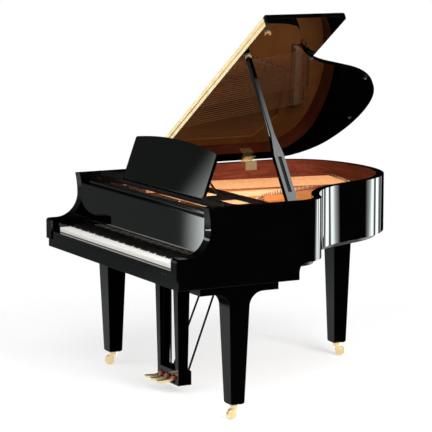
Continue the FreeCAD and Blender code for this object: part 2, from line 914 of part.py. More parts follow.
def bridges():
    long_top = string_height - bridge_string_gap
    bass_top = bass_string_height - bridge_string_gap
    long_part = long_bridge(bridge_half_depth, soundboard_top, long_top)
    bass_part = bass_bridge(bass_bridge_depth / 2, bass_bridge_overrun, soundboard_top, bass_top)
    return Part.makeCompound([long_part, bass_part])


def belly_rail():
    return box((-rim_inner_x, rim_inner_x), (belly_rail_y, belly_rail_y + belly_rail_depth),
               (keybed_top, soundboard_top - soundboard_thickness))


def back_beams():
    front_y = belly_rail_y + belly_rail_depth
    top = inner_rim_bottom + beam_height
    inside = plan_prism(rim_wall + inner_rim_wall, front_y, inner_rim_bottom, top)
    beams = []
    for x in [rear_leg_x] + [share * rim_inner_x for share in beam_shares]:
        strip = box((x - beam_width / 2, x + beam_width / 2), (front_y, tail_y()), (inner_rim_bottom, top))
        beams += inside.common(strip).Solids
    return Part.makeCompound(beams)


def hammers():
    # Each has a blunt butt at its pivot, a shank and a head that tapers to its tip.
    shank_low, shank_high = hammer_pivot_z - hammer_shank_half, hammer_pivot_z + hammer_shank_half
    nose_low, nose_high = hammer_pivot_z - hammer_nose_half, hammer_pivot_z + hammer_nose_half
    taper_y = hammer_pivot_y + hammer_butt_taper
    back_y = hammer_head_y + hammer_head_depth
    tip_y = hammer_head_y + hammer_tip_shift
    steps = [(hammer_pivot_y, nose_low), (taper_y, shank_low), (hammer_head_y, shank_low)]
    steps += [(hammer_head_y, hammer_head_bottom), (back_y, hammer_head_bottom)]
    steps += [(tip_y + hammer_tip_depth, hammer_head_top), (tip_y, hammer_head_top)]
    steps += [(hammer_head_y, shank_high), (taper_y, shank_high), (hammer_pivot_y, nose_high)]
    solids = []
    for note in range(1, note_count + 1):
        x = note_x(note)
        solids.append(prism("yz", steps, x - hammer_width / 2, x + hammer_width / 2))
    return Part.makeCompound(solids)


def action_rail():
    back_y = hammer_pivot_y - hammer_butt_gap
    y_range = (back_y - action_rail_depth, back_y)
    low = hammer_pivot_z - action_rail_height / 2
    high = hammer_pivot_z + action_rail_height / 2
    rail = box((-action_half_length, action_half_length), y_range, (low, high))
    post = box((action_half_length - action_post_width, action_half_length), y_range, (keybed_top, low))
    return fused([rail] + both_sides(post))


def dampers():
    solids = []
    for note in range(1, damped_note_count + 1):
        x = string_x(note, damper_front_y + damper_depth / 2)
        low = string_height + string_size + damper_gap
        if note <= bass_last_note:
            low = bass_string_height + bass_string_size + damper_gap
        solids.append(box((x - damper_width / 2, x + damper_width / 2),
                          (damper_front_y, damper_front_y + damper_depth), (low, low + damper_height)))
    return Part.makeCompound(solids)


def tapered_bar(sections):
    # An upright bar through square-cornered sections, each a width, a depth and a height.
    wires = []
    for width, depth, z in sections:
        x, y = width / 2, depth / 2
        corners = [vector(-x, -y, z), vector(x, -y, z), vector(x, y, z), vector(-x, y, z)]
        wires.append(Part.makePolygon(corners + corners[:1]))
    return Part.makeLoft(wires, True, True)


def tapered_leg(top_z):
    sole = leg_foot - 2 * leg_foot_chamfer
    ends = [(sole, sole, leg_bottom), (leg_foot, leg_foot, leg_bottom + leg_foot_chamfer)]
    return tapered_bar(ends + [(leg_head, leg_head, top_z)])


def leg(block_top, block_length, block_thickness, bracket_radius):
    # A tapered square leg under a block, with a hollow bracket before and behind it.
    head = leg_head / 2
    top_z = block_top - block_thickness
    low = top_z - bracket_radius
    reach = head + bracket_radius
    rear_start, rear_end = (reach, top_z), (head, low)
    front_start, front_end = (-head, low), (-reach, top_z)
    steps = [rear_start, arc_step((reach, low), rear_start, rear_end), front_start]
    steps.append(arc_step((-reach, low), front_start, front_end))
    bracket = prism("yz", steps, -head, head)
    half = block_length / 2
    block = box((-head, head), (-half, half), (top_z, block_top))
    return fused([tapered_leg(low), bracket, block])


def legs():
    front = leg(keybed_bottom, leg_block_length, leg_block_thickness, leg_bracket_radius)
    rear = leg(inner_rim_bottom, rear_block_length, rear_block_thickness, rear_bracket_radius)
    places = [(front, -leg_x, front_leg_y), (front, leg_x, front_leg_y), (rear, rear_leg_x, rear_leg_y())]
    return Part.makeCompound([shape.translated(vector(x, y, 0)) for shape, x, y in places])


caster_places = {
    "front_left": (-leg_x, front_leg_y, front_left_caster_turn),
    "front_right": (leg_x, front_leg_y, front_right_caster_turn),
    "rear": (rear_leg_x, rear_leg_y(), rear_caster_turn),
}


def caster_sockets():
    low = leg_bottom - socket_height
    cup = bar("z", socket_radius, (0, 0), low, leg_bottom)
    cup = cup.cut(bar("z", stem_radius + running_gap, (0, 0), low, leg_bottom - stem_end_gap))
    return Part.makeCompound([cup.translated(vector(x, y, 0)) for x, y, turn in caster_places.values()])


def caster_fork():
    # Crown and stem above, two cheeks that carry the axle behind the stem.
    stem = bar("z", stem_radius, (0, 0), crown_bottom, leg_bottom - 2 * stem_end_gap)
    crown = bar("z", crown_radius, (0, 0), crown_bottom, crown_top)
    inner = wheel_half_width + fork_gap
    outer = inner + fork_plate
    boss = bar("y", fork_boss_radius, (caster_trail, wheel_radius), inner, outer)
    left, right = caster_trail - fork_boss_radius, caster_trail + fork_boss_radius
    width = math.sqrt(crown_radius ** 2 - outer ** 2)
    steps = [(left, wheel_radius), (right, wheel_radius), (width, crown_top), (-width, crown_top)]
    cheek = prism("xz", steps, inner, outer).fuse(boss)
    other = cheek.mirror(vector(0, 0, 0), vector(0, 1, 0))
    axle = bar("y", caster_axle_radius, (caster_trail, wheel_radius), -outer, outer)
    return fused([crown, stem, cheek, other, axle])


def caster_wheel():
    # A turned wheel with a slightly crowned tread.
    bore = caster_axle_radius + wheel_bore_gap
    edge = wheel_radius - wheel_crown
    half = wheel_half_width
    steps = [(bore, -half), (edge, -half), ((wheel_radius, 0), (edge, half)), (bore, half)]
    wheel = face("xz", steps).revolve(vector(0, 0, 0), vector(0, 0, 1))
    wheel.rotate(vector(0, 0, 0), vector(1, 0, 0), 90)
    return wheel.translated(vector(caster_trail, 0, wheel_radius))


def at_caster(shape, place):
    x, y, turn = caster_places[place]
    moved = shape.copy()
    moved.rotate(vector(0, 0, 0), vector(0, 0, 1), turn)
    return moved.translated(vector(x, y, 0))


pedal_places = {"left": -pedal_pitch, "middle": 0, "right": pedal_pitch}


def rod_hole(x):
    return bar("z", rod_radius + rod_hole_gap, (x, rod_y), lyre_box_top - 2 * lyre_box_wall, keybed_bottom)


def lyre_box():
    # Hollow, with a slot before each pedal and a hole over each rod.
    wall = lyre_box_wall
    half = lyre_box_half_width
    back_y = lyre_box_front_y + lyre_box_depth
    inner_floor = lyre_box_bottom + wall
    shell = box((-half, half), (lyre_box_front_y, back_y), (lyre_box_bottom, lyre_box_top))
    shell = shell.cut(box((wall - half, half - wall), (lyre_box_front_y + wall, back_y - wall),
                          (inner_floor, lyre_box_top - wall)))
    slot_half = pedal_width / 2 + pedal_slot_gap
    for x in pedal_places.values():
        slot = box((x - slot_half, x + slot_half), (lyre_box_front_y - wall, lyre_box_front_y + 2 * wall),
                   (inner_floor, inner_floor + pedal_slot_height))
        shell = shell.cut(Part.makeCompound([slot, rod_hole(x)]))
    return shell


def pedal_lyre():
    # Two posts that draw in from a head under the key bed to the box, and the axle of the pedals.
    head_bottom = keybed_bottom - lyre_head_height
    post = tapered_bar([(lyre_post_width, lyre_post_depth, lyre_box_top),
                        (lyre_post_head_width, lyre_post_head_depth, head_bottom)])
    post = post.translated(vector(lyre_post_x, lyre_post_y, 0))
    head_half = lyre_post_x + lyre_post_head_width / 2
    depth_half = lyre_post_head_depth / 2
    head = box((-head_half, head_half), (lyre_post_y - depth_half, lyre_post_y + depth_half),
               (head_bottom, keybed_bottom))
    head = head.cut(Part.makeCompound([rod_hole(x) for x in pedal_places.values()]))
    axle_end = lyre_box_half_width - lyre_box_wall
    axle = bar("x", pedal_axle_radius, (pedal_pivot_y, pedal_pivot_z), -axle_end, axle_end)
    return Part.makeCompound(both_sides(post) + [head, lyre_box(), axle])


def pedal(x):
    # A cast lever: it dips and widens from the box to a round toe.
    half = pedal_thickness / 2
    tip_z = pedal_pivot_z - pedal_drop
    neck_y = pedal_tip_y + pedal_tip_length
    bend_y = (neck_y + pedal_pivot_y) / 2
    steps = [(pedal_end_y, pedal_pivot_z - half), (pedal_end_y, pedal_pivot_z + half)]
    steps += [(bend_y, pedal_pivot_z + half), (neck_y, tip_z + half), (pedal_tip_y, tip_z + half)]
    steps += [(pedal_tip_y, tip_z - half / 2), (neck_y, tip_z - half), (bend_y, pedal_pivot_z - half)]
    side = prism("yz", steps, x - pedal_tip_width / 2, x + pedal_tip_width / 2)
    wide, slim = pedal_tip_width / 2, pedal_width / 2
    toe_y = pedal_tip_y + wide
    plan = [(x - wide, toe_y), ((x, pedal_tip_y), (x + wide, toe_y)), (x + slim, neck_y)]
    plan += [(x + slim, pedal_end_y), (x - slim, pedal_end_y), (x - slim, neck_y)]
    lever = side.common(prism("xy", plan, lyre_box_bottom - pedal_drop, lyre_box_top))
    bore = bar("x", pedal_axle_radius + running_gap, (pedal_pivot_y, pedal_pivot_z), x - wide, x + wide)
    return lever.cut(bore)


def pedal_rod(x):
    low = pedal_pivot_z + pedal_thickness / 2 + rod_seat_gap
    return bar("z", rod_radius, (x, rod_y), low, keybed_bottom - rod_top_gap)


def lyre_braces():
    # Two round struts, cut off flush at the back of the box and under the key bed.
    foot_y = lyre_box_front_y + lyre_box_depth
    foot = vector(brace_foot_x, foot_y, brace_foot_z)
    along = vector(brace_head_x, brace_head_y, keybed_bottom) - foot
    overrun = along * (brace_radius / along.Length)
    rod = Part.makeCylinder(brace_radius, along.Length + 2 * brace_radius, foot - overrun, along)
    room = box((0, leg_x), (foot_y, keybed_back_y), (0, keybed_bottom))
    return Part.makeCompound(both_sides(rod.common(room)))


def fallboard():
    # Drawn upright about its pivot, then leant back as it stands open.
    half = arm_inner_x - fall_end_gap
    front, back = -fall_face, fall_thickness - fall_face
    top = fall_height
    nose = fall_nose_radius
    foot_middle = ((front + back) / 2, -fall_thickness / 2)
    steps = [(front, 0), (front, top - nose)]
    steps.append(arc_step((front + nose, top - nose), (front, top - nose), (front + nose, top)))
    steps.append((back - nose, top))
    steps.append(arc_step((back - nose, top - nose), (back - nose, top), (back, top - nose)))
    steps += [(back, 0), (foot_middle, (front, 0))]
    board = prism("yz", steps, -half, half)
    pins = both_sides(bar("x", fall_pin_radius, (0, 0), half - fall_pin_length, half + fall_pin_length))
    board = fused([board] + pins)
    board.rotate(vector(0, 0, 0), vector(1, 0, 0), -fall_lean)
    return board.translated(vector(0, fall_pivot_y, fall_pivot_z))


def desk_rails():
    rail = box((rim_inner_x - desk_rail_width, rim_inner_x), (desk_rail_front_y, desk_rail_back_y),
               (desk_frame_bottom - desk_rail_height, desk_frame_bottom))
    return Part.makeCompound(both_sides(rail))


def desk_frame_sheet():
    # The flat frame with three openings, so that two bars are left to carry the stays.
    half = desk_frame_half_width
    heights = (desk_frame_bottom, desk_frame_top)
    sheet = box((-half, half), (desk_frame_front_y, desk_frame_back_y), heights)
    depths = (desk_frame_front_y + desk_frame_front_bar, desk_frame_back_y - desk_frame_back_bar)
    stay_left = desk_stay_x - 2 * desk_stay_width
    stay_right = desk_stay_x + 2 * desk_stay_width
    middle_opening = box((-stay_left, stay_left), depths, heights)
    side_opening = box((stay_right, half - desk_frame_side_bar), depths, heights)
    return sheet.cut(Part.makeCompound([middle_opening] + both_sides(side_opening)))


def desk_ear():
    # A round-topped ear with the pin that the desk turns on.
    inner = desk_half_width + desk_ear_gap
    outer = inner + desk_ear_thickness
    front_y, back_y = desk_pivot_y - desk_ear_half_depth, desk_pivot_y + desk_ear_half_depth
    steps = [(front_y, desk_frame_top), (back_y, desk_frame_top), (back_y, desk_pivot_z)]
    steps.append(((desk_pivot_y, desk_pivot_z + desk_ear_half_depth), (front_y, desk_pivot_z)))
    pin = bar("x", desk_pin_radius, (desk_pivot_y, desk_pivot_z), desk_half_width - desk_pin_length, outer)
    return prism("yz", steps, inner, outer).fuse(pin)


def desk_wing():
    # A swept rail along the end of the frame.
    half = desk_frame_half_width
    back_y = desk_frame_front_y + desk_wing_length
    radius = (desk_wing_length ** 2 + desk_wing_rise ** 2) / (2 * desk_wing_rise)
    end, top = (back_y, desk_frame_top), (desk_frame_front_y, desk_frame_top + desk_wing_rise)
    steps = [(desk_frame_front_y, desk_frame_bottom), (back_y, desk_frame_bottom), end]
    steps.append(arc_step((back_y, desk_frame_top + radius), end, top))
    return prism("yz", steps, half - desk_wing_thickness, half)


def desk_frame():
    # A sliding frame with ears for the desk, slots and pins for the stays and a wing at each end.
    frame = fused([desk_frame_sheet()] + both_sides(desk_ear()) + both_sides(desk_wing()))
    foot_y, foot_z = stay_foot()
    slot_half = desk_stay_width / 2 + desk_ear_gap
    for x in (-desk_stay_x, desk_stay_x):
        slot = box((x - slot_half, x + slot_half), (foot_y - desk_stay_slot_front, desk_frame_back_y),
                   (desk_frame_bottom, desk_frame_top))
        pin = bar("x", desk_stay_pin_radius, (foot_y, foot_z), x - slot_half, x + slot_half)
        frame = frame.cut(slot).fuse(pin)
    return frame.removeSplitter()


def stay_foot():
    # The pin of a stay, at mid height in the frame behind the desk.
    return desk_pivot_y + desk_stay_back, desk_frame_bottom + desk_frame_thickness / 2


def desk_back_at(reach):
    # A point on the back of the leaning desk, this far up from its pivot.
    lean = math.radians(desk_lean)
    half = desk_thickness / 2
    return (desk_pivot_y + reach * math.sin(lean) + half * math.cos(lean),
            desk_pivot_z + reach * math.cos(lean) - half * math.sin(lean))


def music_desk():
    # Panel with a crowned top edge, round upper corners and a round foot about its pivot.
    half, top, corner = desk_half_width, desk_height, desk_corner_radius
    shoulder = top - desk_crown
    low, side = shoulder - corner, half - corner
    steps = [(-half, 0), (half, 0), (half, low), arc_step((side, low), (half, low), (side, shoulder))]
    steps += [((0, top), (-side, shoulder)), arc_step((-side, low), (-side, shoulder), (-half, low))]
    panel = prism("xz", steps, -desk_thickness / 2, desk_thickness / 2)
    foot = bar("x", desk_thickness / 2, (0, 0), -half, half)
    bore = bar("x", desk_pin_radius + running_gap, (0, 0), half - desk_pin_length - desk_ear_gap, half)
    desk = fused([panel, foot]).cut(Part.makeCompound(both_sides(bore)))
    desk.rotate(vector(0, 0, 0), vector(1, 0, 0), -desk_lean)
    return desk.translated(vector(0, desk_pivot_y, desk_pivot_z))


def desk_stays():
    # Two struts from the frame to the back of the desk.
    foot = stay_foot()
    target = desk_back_at(desk_stay_reach)
    lean = math.radians(desk_lean)
    tip_radius = desk_stay_thickness / 2
    clear = tip_radius + desk_stay_seat_gap
    tip = (target[0] + clear * math.cos(lean), target[1] - clear * math.sin(lean))
    length = math.dist(foot, tip)
    half = desk_stay_width / 2
    strut = box((-half, half), (-tip_radius, tip_radius), (0, length))
    ends = [bar("x", tip_radius, (0, length), -half, half), bar("x", 2 * tip_radius, (0, 0), -half, half)]
    bore = bar("x", desk_stay_pin_radius + running_gap, (0, 0), -half, half)
    stay = fused([strut] + ends).cut(bore)
    angle = math.degrees(math.atan2(foot[0] - tip[0], tip[1] - foot[1]))
    stay.rotate(vector(0, 0, 0), vector(1, 0, 0), angle)
    stay = stay.translated(vector(desk_stay_x, foot[0], foot[1]))
    return Part.makeCompound(both_sides(stay))


def opened(shape):
    # Turns a piece from the closed lid's place to the open lid's.
    moved = shape.copy()
    moved.rotate(vector(hinge_x, 0, hinge_z), vector(0, -1, 0), lid_open)
    return moved


def folded(shape):
    # Turns a piece of the front flap from its closed place to lie back on the lid.
    moved = shape.copy()
    moved.rotate(vector(0, lid_fold_y, fold_axis_z), vector(1, 0, 0), -180)
    return moved


def lid_hinge_ys():
    reach = tail_y() - lid_fold_y
    return [lid_fold_y + share * reach + lid_hinge_length / 2 for share in lid_hinge_shares]


def lid_edge_y(side):
    return lid_fold_y + side * (fold_leaf_gap + fold_leaf_thickness)


def lid_main():
    board = plan_prism(-lid_overhang, lid_edge_y(1), lid_bottom, lid_top, 0)
    return opened(board)


def lid_flap():
    left, right = -case_half_width, case_half_width + lid_overhang
    corner = lid_flap_corner
    front_y, back_y = lid_front_y, lid_edge_y(-1)
    round_y = front_y + corner
    steps = [(right, back_y), (left, back_y), (left, round_y)]
    steps.append(arc_step((left + corner, round_y), (left, round_y), (left + corner, front_y)))
    steps.append((right - corner, front_y))
    steps.append(arc_step((right - corner, round_y), (right - corner, front_y), (right, round_y)))
    return opened(folded(prism("xy", steps, lid_bottom, lid_top)))


def fold_knuckles(first):
    # Every second knuckle along the fold, starting with this one.
    left = -case_half_width + fold_leaf_margin
    pitch = (2 * case_half_width - 2 * fold_leaf_margin) / fold_knuckle_count
    for index in range(first, fold_knuckle_count, 2):
        start = left + index * pitch
        yield start + fold_knuckle_gap / 2, start + pitch - fold_knuckle_gap / 2


def fold_leaf(side, first):
    near = lid_fold_y + side * fold_leaf_gap
    y_range = tuple(sorted((near, lid_edge_y(side))))
    left, right = -case_half_width + fold_leaf_margin, case_half_width - fold_leaf_margin
    leaf_top = lid_top - fold_leaf_relief
    centre = (lid_fold_y, fold_axis_z)
    pieces = [box((left, right), y_range, (leaf_top - fold_leaf_height, leaf_top))]
    for start, end in fold_knuckles(first):
        pieces.append(box((start, end), y_range, (leaf_top, fold_axis_z)))
        pieces.append(bar("x", fold_knuckle_radius, centre, start, end))
    leaf = fused(pieces)
    return leaf.cut(bar("x", fold_pin_radius + running_gap, centre, left, right))


def flap_hinge_leaf():
    return opened(folded(fold_leaf(-1, 1)))


def lid_cup(along_lid):
    # A brass cup on the lid's underside, open towards the spine where the prop swings out.
    x = hinge_x + along_lid
    ring = bar("z", cup_outer_radius, (x, prop_y), lid_bottom - cup_depth, lid_bottom)
    ring = ring.cut(bar("z", cup_inner_radius, (x, prop_y), lid_bottom - cup_depth, lid_bottom))
    return ring.cut(box((x - cup_outer_radius, x), (prop_y - cup_inner_radius, prop_y + cup_inner_radius),
                        (lid_bottom - cup_depth, lid_bottom)))


def spine_knuckles(y, on_lid):
    third = lid_hinge_length / 3
    start = y - lid_hinge_length / 2
    places = (1,) if on_lid else (0, 2)
    for index in places:
        low = start + index * third
        yield low + fold_knuckle_gap / 2, low + third - fold_knuckle_gap / 2


def spine_leaf(y, on_lid):
    low = lid_bottom - lid_leaf_thickness if on_lid else rim_top
    leaf_left = -case_half_width
    leaf_right = leaf_left + lid_leaf_width
    half = lid_hinge_length / 2
    pieces = [box((leaf_left, leaf_right), (y - half, y + half), (low, low + lid_leaf_thickness))]
    for start, end in spine_knuckles(y, on_lid):
        pieces.append(box((hinge_x, leaf_left), (start, end), (low, low + lid_leaf_thickness)))
        pieces.append(bar("y", lid_hinge_radius, (hinge_x, hinge_z), start, end))
    if not on_lid:
        flange_low = rim_top - lid_leaf_drop
        pieces.append(box((-rim_inner_x, leaf_right), (y - half, y + half), (flange_low, rim_top)))
    leaf = fused(pieces)
    bore = lid_hinge_pin_radius + (running_gap if on_lid else 0)
    leaf = leaf.cut(bar("y", bore, (hinge_x, hinge_z), y - half, y + half))
    if on_lid:
        return leaf
    pin = bar("y", lid_hinge_pin_radius, (hinge_x, hinge_z), y - half, y + half)
    return fused([leaf, pin])


def lid_fittings():
    # The lid's halves of its hinges, the fold's pin and the two prop cups.
    left, right = -case_half_width + fold_leaf_margin, case_half_width - fold_leaf_margin
    pin = bar("x", fold_pin_radius, (lid_fold_y, fold_axis_z), left, right)
    pieces = [fold_leaf(1, 0), pin]
    pieces += [spine_leaf(y, True) for y in lid_hinge_ys()]
    pieces += [lid_cup(along) for along in (prop_along_lid, half_prop_along_lid)]
    return opened(Part.makeCompound(pieces))


def prop_ends():
    # Where the prop's pivot is, and the lid point that its tip holds up, in side view.
    angle = math.radians(lid_open)
    up = lid_bottom - hinge_z
    tip = (hinge_x + prop_along_lid * math.cos(angle) - up * math.sin(angle),
           hinge_z + prop_along_lid * math.sin(angle) + up * math.cos(angle))
    return (prop_pivot_x, prop_pivot_z), tip


def prop_length():
    return math.dist(*prop_ends()) - prop_tip_gap


def stood_up(shape):
    # Turns a prop drawn along Z from its pivot to its place under the lid.
    pivot, tip = prop_ends()
    angle = math.degrees(math.atan2(tip[0] - pivot[0], tip[1] - pivot[1]))
    moved = shape.copy()
    moved.rotate(vector(0, 0, 0), vector(0, 1, 0), angle)
    return moved.translated(vector(pivot[0], prop_y, pivot[1]))


def lid_prop():
    base, top = prop_base_width / 2, prop_top_width / 2
    half = prop_thickness / 2
    shoulder = prop_base_length + prop_neck_length
    end = prop_length() - prop_tip_length
    steps = [(-base, 0), (base, 0), (base, prop_base_length), (top, shoulder), (top, end), (-top, end)]
    steps += [(-top, shoulder), (-base, prop_base_length)]
    stick = prism("yz", steps, -half, half)
    foot = bar("y", half, (0, 0), -base, base)
    tip = bar("z", prop_tip_radius, (0, 0), end, prop_length())
    slot_half = prop_slot_width / 2
    slot_end = prop_base_length - prop_slot_end_margin
    slot = box((-half, half), (-slot_half, slot_half), (prop_slot_start, slot_end))
    bore = bar("y", prop_pin_radius + running_gap, (0, 0), -base, base)
    return stood_up(fused([stick, foot, tip]).cut(Part.makeCompound([slot, bore])))


def half_prop():
    half = prop_slot_width / 2 - half_prop_gap
    low = prop_slot_start + half_prop_gap
    high = prop_base_length - prop_slot_end_margin - half_prop_gap
    thick = half_prop_thickness / 2
    steps = [(-half, low), (half, low), (half, high - half), ((0, high), (-half, high - half))]
    return stood_up(prism("yz", steps, -thick, thick))


def prop_bracket():
    # A plate on the rim with two ears and the prop's pin.
    inner = prop_base_width / 2 + prop_ear_gap
    outer = prop_bracket_half
    plate_left = rim_inner_x - prop_plate_thickness
    low = prop_pivot_z - prop_ear_height / 2
    pieces = [box((plate_left, rim_inner_x), (prop_y - outer, prop_y + outer),
                  (rim_top - prop_plate_height, prop_pivot_z + prop_ear_reach / 2))]
    for side in (-1, 1):
        y_range = tuple(sorted((prop_y + side * inner, prop_y + side * outer)))
        steps = [(plate_left, low), (plate_left, prop_pivot_z + prop_ear_reach / 2)]
        steps += [(prop_pivot_x, prop_pivot_z + prop_ear_reach / 2)]
        steps += [((prop_pivot_x - prop_ear_reach, prop_pivot_z), (prop_pivot_x, low))]
        pieces.append(prism("xz", steps, *y_range))
    pieces.append(bar("y", prop_pin_radius, (prop_pivot_x, prop_pivot_z), prop_y - outer, prop_y + outer))
    return fused(pieces)


def rim_fittings():
    return Part.makeCompound([spine_leaf(y, False) for y in lid_hinge_ys()] + [prop_bracket()])


def all_nodes():
    nodes = {
        "outer_rim": outer_rim(),
        "inner_rim": inner_rim(),
        "keybed": keybed(),
        "key_slip": key_slip(),
        "key_blocks": key_blocks(),
        "stretcher": stretcher(),
        "key_frame": key_frame(),
        "action_rail": action_rail(),
        "hammers": hammers(),
        "belly_rail": belly_rail(),
        "back_beams": back_beams(),
        "soundboard": soundboard(),
        "soundboard_ribs": soundboard_ribs(),
        "bridges": bridges(),
        "iron_plate": iron_plate(),
        "pinblock": pinblock(),
        "tuning_pins": tuning_pins(),
        "treble_strings": treble_strings(),
        "bass_strings": bass_strings(),
        "dampers": dampers(),
        "legs": legs(),
        "caster_sockets": caster_sockets(),
        "pedal_lyre": pedal_lyre(),
        "lyre_braces": lyre_braces(),
        "fallboard": fallboard(),
        "desk_rails": desk_rails(),
        "desk_frame": desk_frame(),
        "music_desk": music_desk(),
        "desk_stays": desk_stays(),
        "lid_main": lid_main(),
        "lid_flap": lid_flap(),
        "lid_fittings": lid_fittings(),
        "flap_hinge_leaf": flap_hinge_leaf(),
        "rim_fittings": rim_fittings(),
        "lid_prop": lid_prop(),
        "half_prop": half_prop(),
    }
    for place in caster_places:
        nodes["caster_fork_" + place] = at_caster(caster_fork(), place)
        nodes["caster_wheel_" + place] = at_caster(caster_wheel(), place)
    for side, x in pedal_places.items():
        nodes["pedal_" + side] = pedal(x)
        nodes["pedal_rod_" + side] = pedal_rod(x)
    for name, keys in keys_by_name().items():
        nodes["keys_" + name] = keys
    return nodes


os.makedirs("parts", exist_ok=True)
nodes = all_nodes()
whole = Part.makeCompound(list(nodes.values())).BoundBox
to_origin = vector(-whole.Center.x, -whole.Center.y, -whole.ZMin)
for name, shape in nodes.items():
    shape.translated(to_origin).exportStep("parts/" + name + ".step")
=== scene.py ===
import bmesh
import bpy
import json
import math
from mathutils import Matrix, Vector

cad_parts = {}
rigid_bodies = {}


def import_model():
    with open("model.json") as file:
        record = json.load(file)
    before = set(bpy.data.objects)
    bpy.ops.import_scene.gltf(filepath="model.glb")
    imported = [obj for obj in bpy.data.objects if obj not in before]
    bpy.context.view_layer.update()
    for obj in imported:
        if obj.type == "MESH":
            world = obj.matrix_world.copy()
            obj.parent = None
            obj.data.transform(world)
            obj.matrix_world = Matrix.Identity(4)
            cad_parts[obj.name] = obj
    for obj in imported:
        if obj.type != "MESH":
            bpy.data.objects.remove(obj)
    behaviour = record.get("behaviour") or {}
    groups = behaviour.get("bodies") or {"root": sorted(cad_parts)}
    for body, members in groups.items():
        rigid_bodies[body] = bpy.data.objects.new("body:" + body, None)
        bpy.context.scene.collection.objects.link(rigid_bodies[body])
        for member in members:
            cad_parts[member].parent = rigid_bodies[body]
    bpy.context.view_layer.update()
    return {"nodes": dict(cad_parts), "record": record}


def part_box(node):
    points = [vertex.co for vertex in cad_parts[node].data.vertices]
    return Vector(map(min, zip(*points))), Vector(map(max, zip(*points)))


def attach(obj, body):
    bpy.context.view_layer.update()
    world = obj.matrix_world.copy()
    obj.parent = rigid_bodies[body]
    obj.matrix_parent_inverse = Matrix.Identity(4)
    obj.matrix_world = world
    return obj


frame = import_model()
cad_nodes = frame["nodes"]

# Grand piano. Metres; x runs to the treble, y from the key slip to the tail, z is up from the floor.

# Camera: its place from the middle of the key slip, angles in degrees, lens and sensor in millimetres
camera_place = (8.7905, -4.1273, 2.321)
camera_pitch = 81.486
camera_heading = 61.876
camera_lens = 174.64
camera_sensor = 36.0
camera_far = 40.0

# Floor: a disc that turns clear between two radii
floor_radius = 2.6
floor_clear_radius = 1.5
floor_sides = 96
floor_drop = 0.001
floor_lift_share = 0.55
floor_rough = 0.9
floor_tones = ((0.9, 0.9, 0.9), (0.93, 0.93, 0.93))
floor_speckle = {"scale": 60.0, "detail": 4.0}

# Lamps: turns round the piano from its treble side and lifts, in degrees, and power in watts
ambient_strength = 0.5
pure_white = (1, 1, 1, 1)
aim_back, aim_height = 0.75, 0.75
soft_distance = 5.0
soft_size = (2.6, 2.6)
key_turn, key_lift, key_power = -38.0, 48.0, 200.0
fill_turn, fill_lift, fill_power = -95.0, 40.0, 70.0
side_turn, side_lift, side_power = 15.0, 21.0, 380.0
top_turn, top_lift = 50.0, 53.0
top_distance = 3.2
top_size = (1.9, 1.9)
top_radiance = 3.4

# Panels that are seen only in what is polished
front_ends = ((1.45, -3.4), (0.75, -3.6))
front_low, front_high = 0.6, 2.4
front_radiance = 4.0
metal_panel_turns = (-75.0, -20.0, 35.0, 125.0, 205.0)
metal_panel_lift = 18.0
metal_panel_distance = 4.5
metal_panel_size = (3.4, 3.4)
metal_panel_radiance = 0.85
metal_floor_size = (6.0, 6.0)
metal_floor_radiance = 0.75

# What polished faces mirror of the studio: directions, heights as sines, turns in degrees, and brightness
dark_level = 0.0015
studio_tint = (0.93, 1.0, 0.98, 1.0)
bright_side = (-0.883, -0.469, 0.0)
bright_edge = (0.7, 0.97)
height_span = (-1.0, 1.0)
height_levels = ((0.3, 0.02), (0.39, 0.38), (0.415, 0.08), (0.425, 0.13), (0.485, 0.12), (0.56, 0.07),
                 (0.8, 0.04))
strip_radiance = 8.5
strip_turns = (70.0, 130.0)
strip_levels = ((78.0, 0.0), (86.0, 0.35), (92.0, 1.0), (95.0, 0.9), (97.5, 0.05), (100.5, 0.05),
                (103.0, 0.8), (105.5, 1.0), (111.0, 0.12), (117.0, 0.0), (120.0, 0.16), (122.0, 0.0))
strip_bottom, strip_top = (-0.276, -0.262), (0.0, 0.12)
low_strip_levels = ((78.0, 0.0), (86.0, 0.35), (92.0, 1.0), (95.0, 0.0))
low_strip_bottom = (-0.45, -0.3)
glow_side = (0.438, -0.899, 0.0)
glow_past = (0.037, 0.042)
fall_glow = {"edge": (0.024, 0.041), "low": (-0.165, -0.15), "high": (-0.1, -0.07), "radiance": 5.2}
desk_glow = {"edge": (0.002, 0.02), "low": (0.12, 0.16), "high": (0.24, 0.28), "radiance": 2.2}
prop_side = (0.46, 0.495, 0.737)
prop_edge = (0.97, 0.99)
prop_slope = (0.78, 0.2, -0.6)
prop_grade = (-0.034, 0.016)
prop_radiance = 4.2
pale_floor_side = (0.707, -0.707, 0.0)
pale_floor_edge = (-0.3, 0.1)
pale_floor_depth = (-0.4, -0.55)
pale_floor_level = 0.7

# Edges of the wooden and metal pieces: widths, and the turns in degrees past which an edge is sharp
case_edge = 0.0016
fine_edge = 0.0005
key_edge = 0.0009
edge_steps = 2
edge_angle = 32.0
smooth_angle = 30.0
flat_weight = 100
weld_gap = 0.00001
fine_slots = ("brass", "steel", "copper", "felt", "plate_gold")
plain_nodes = ("treble_strings", "bass_strings", "tuning_pins", "hammers", "dampers")

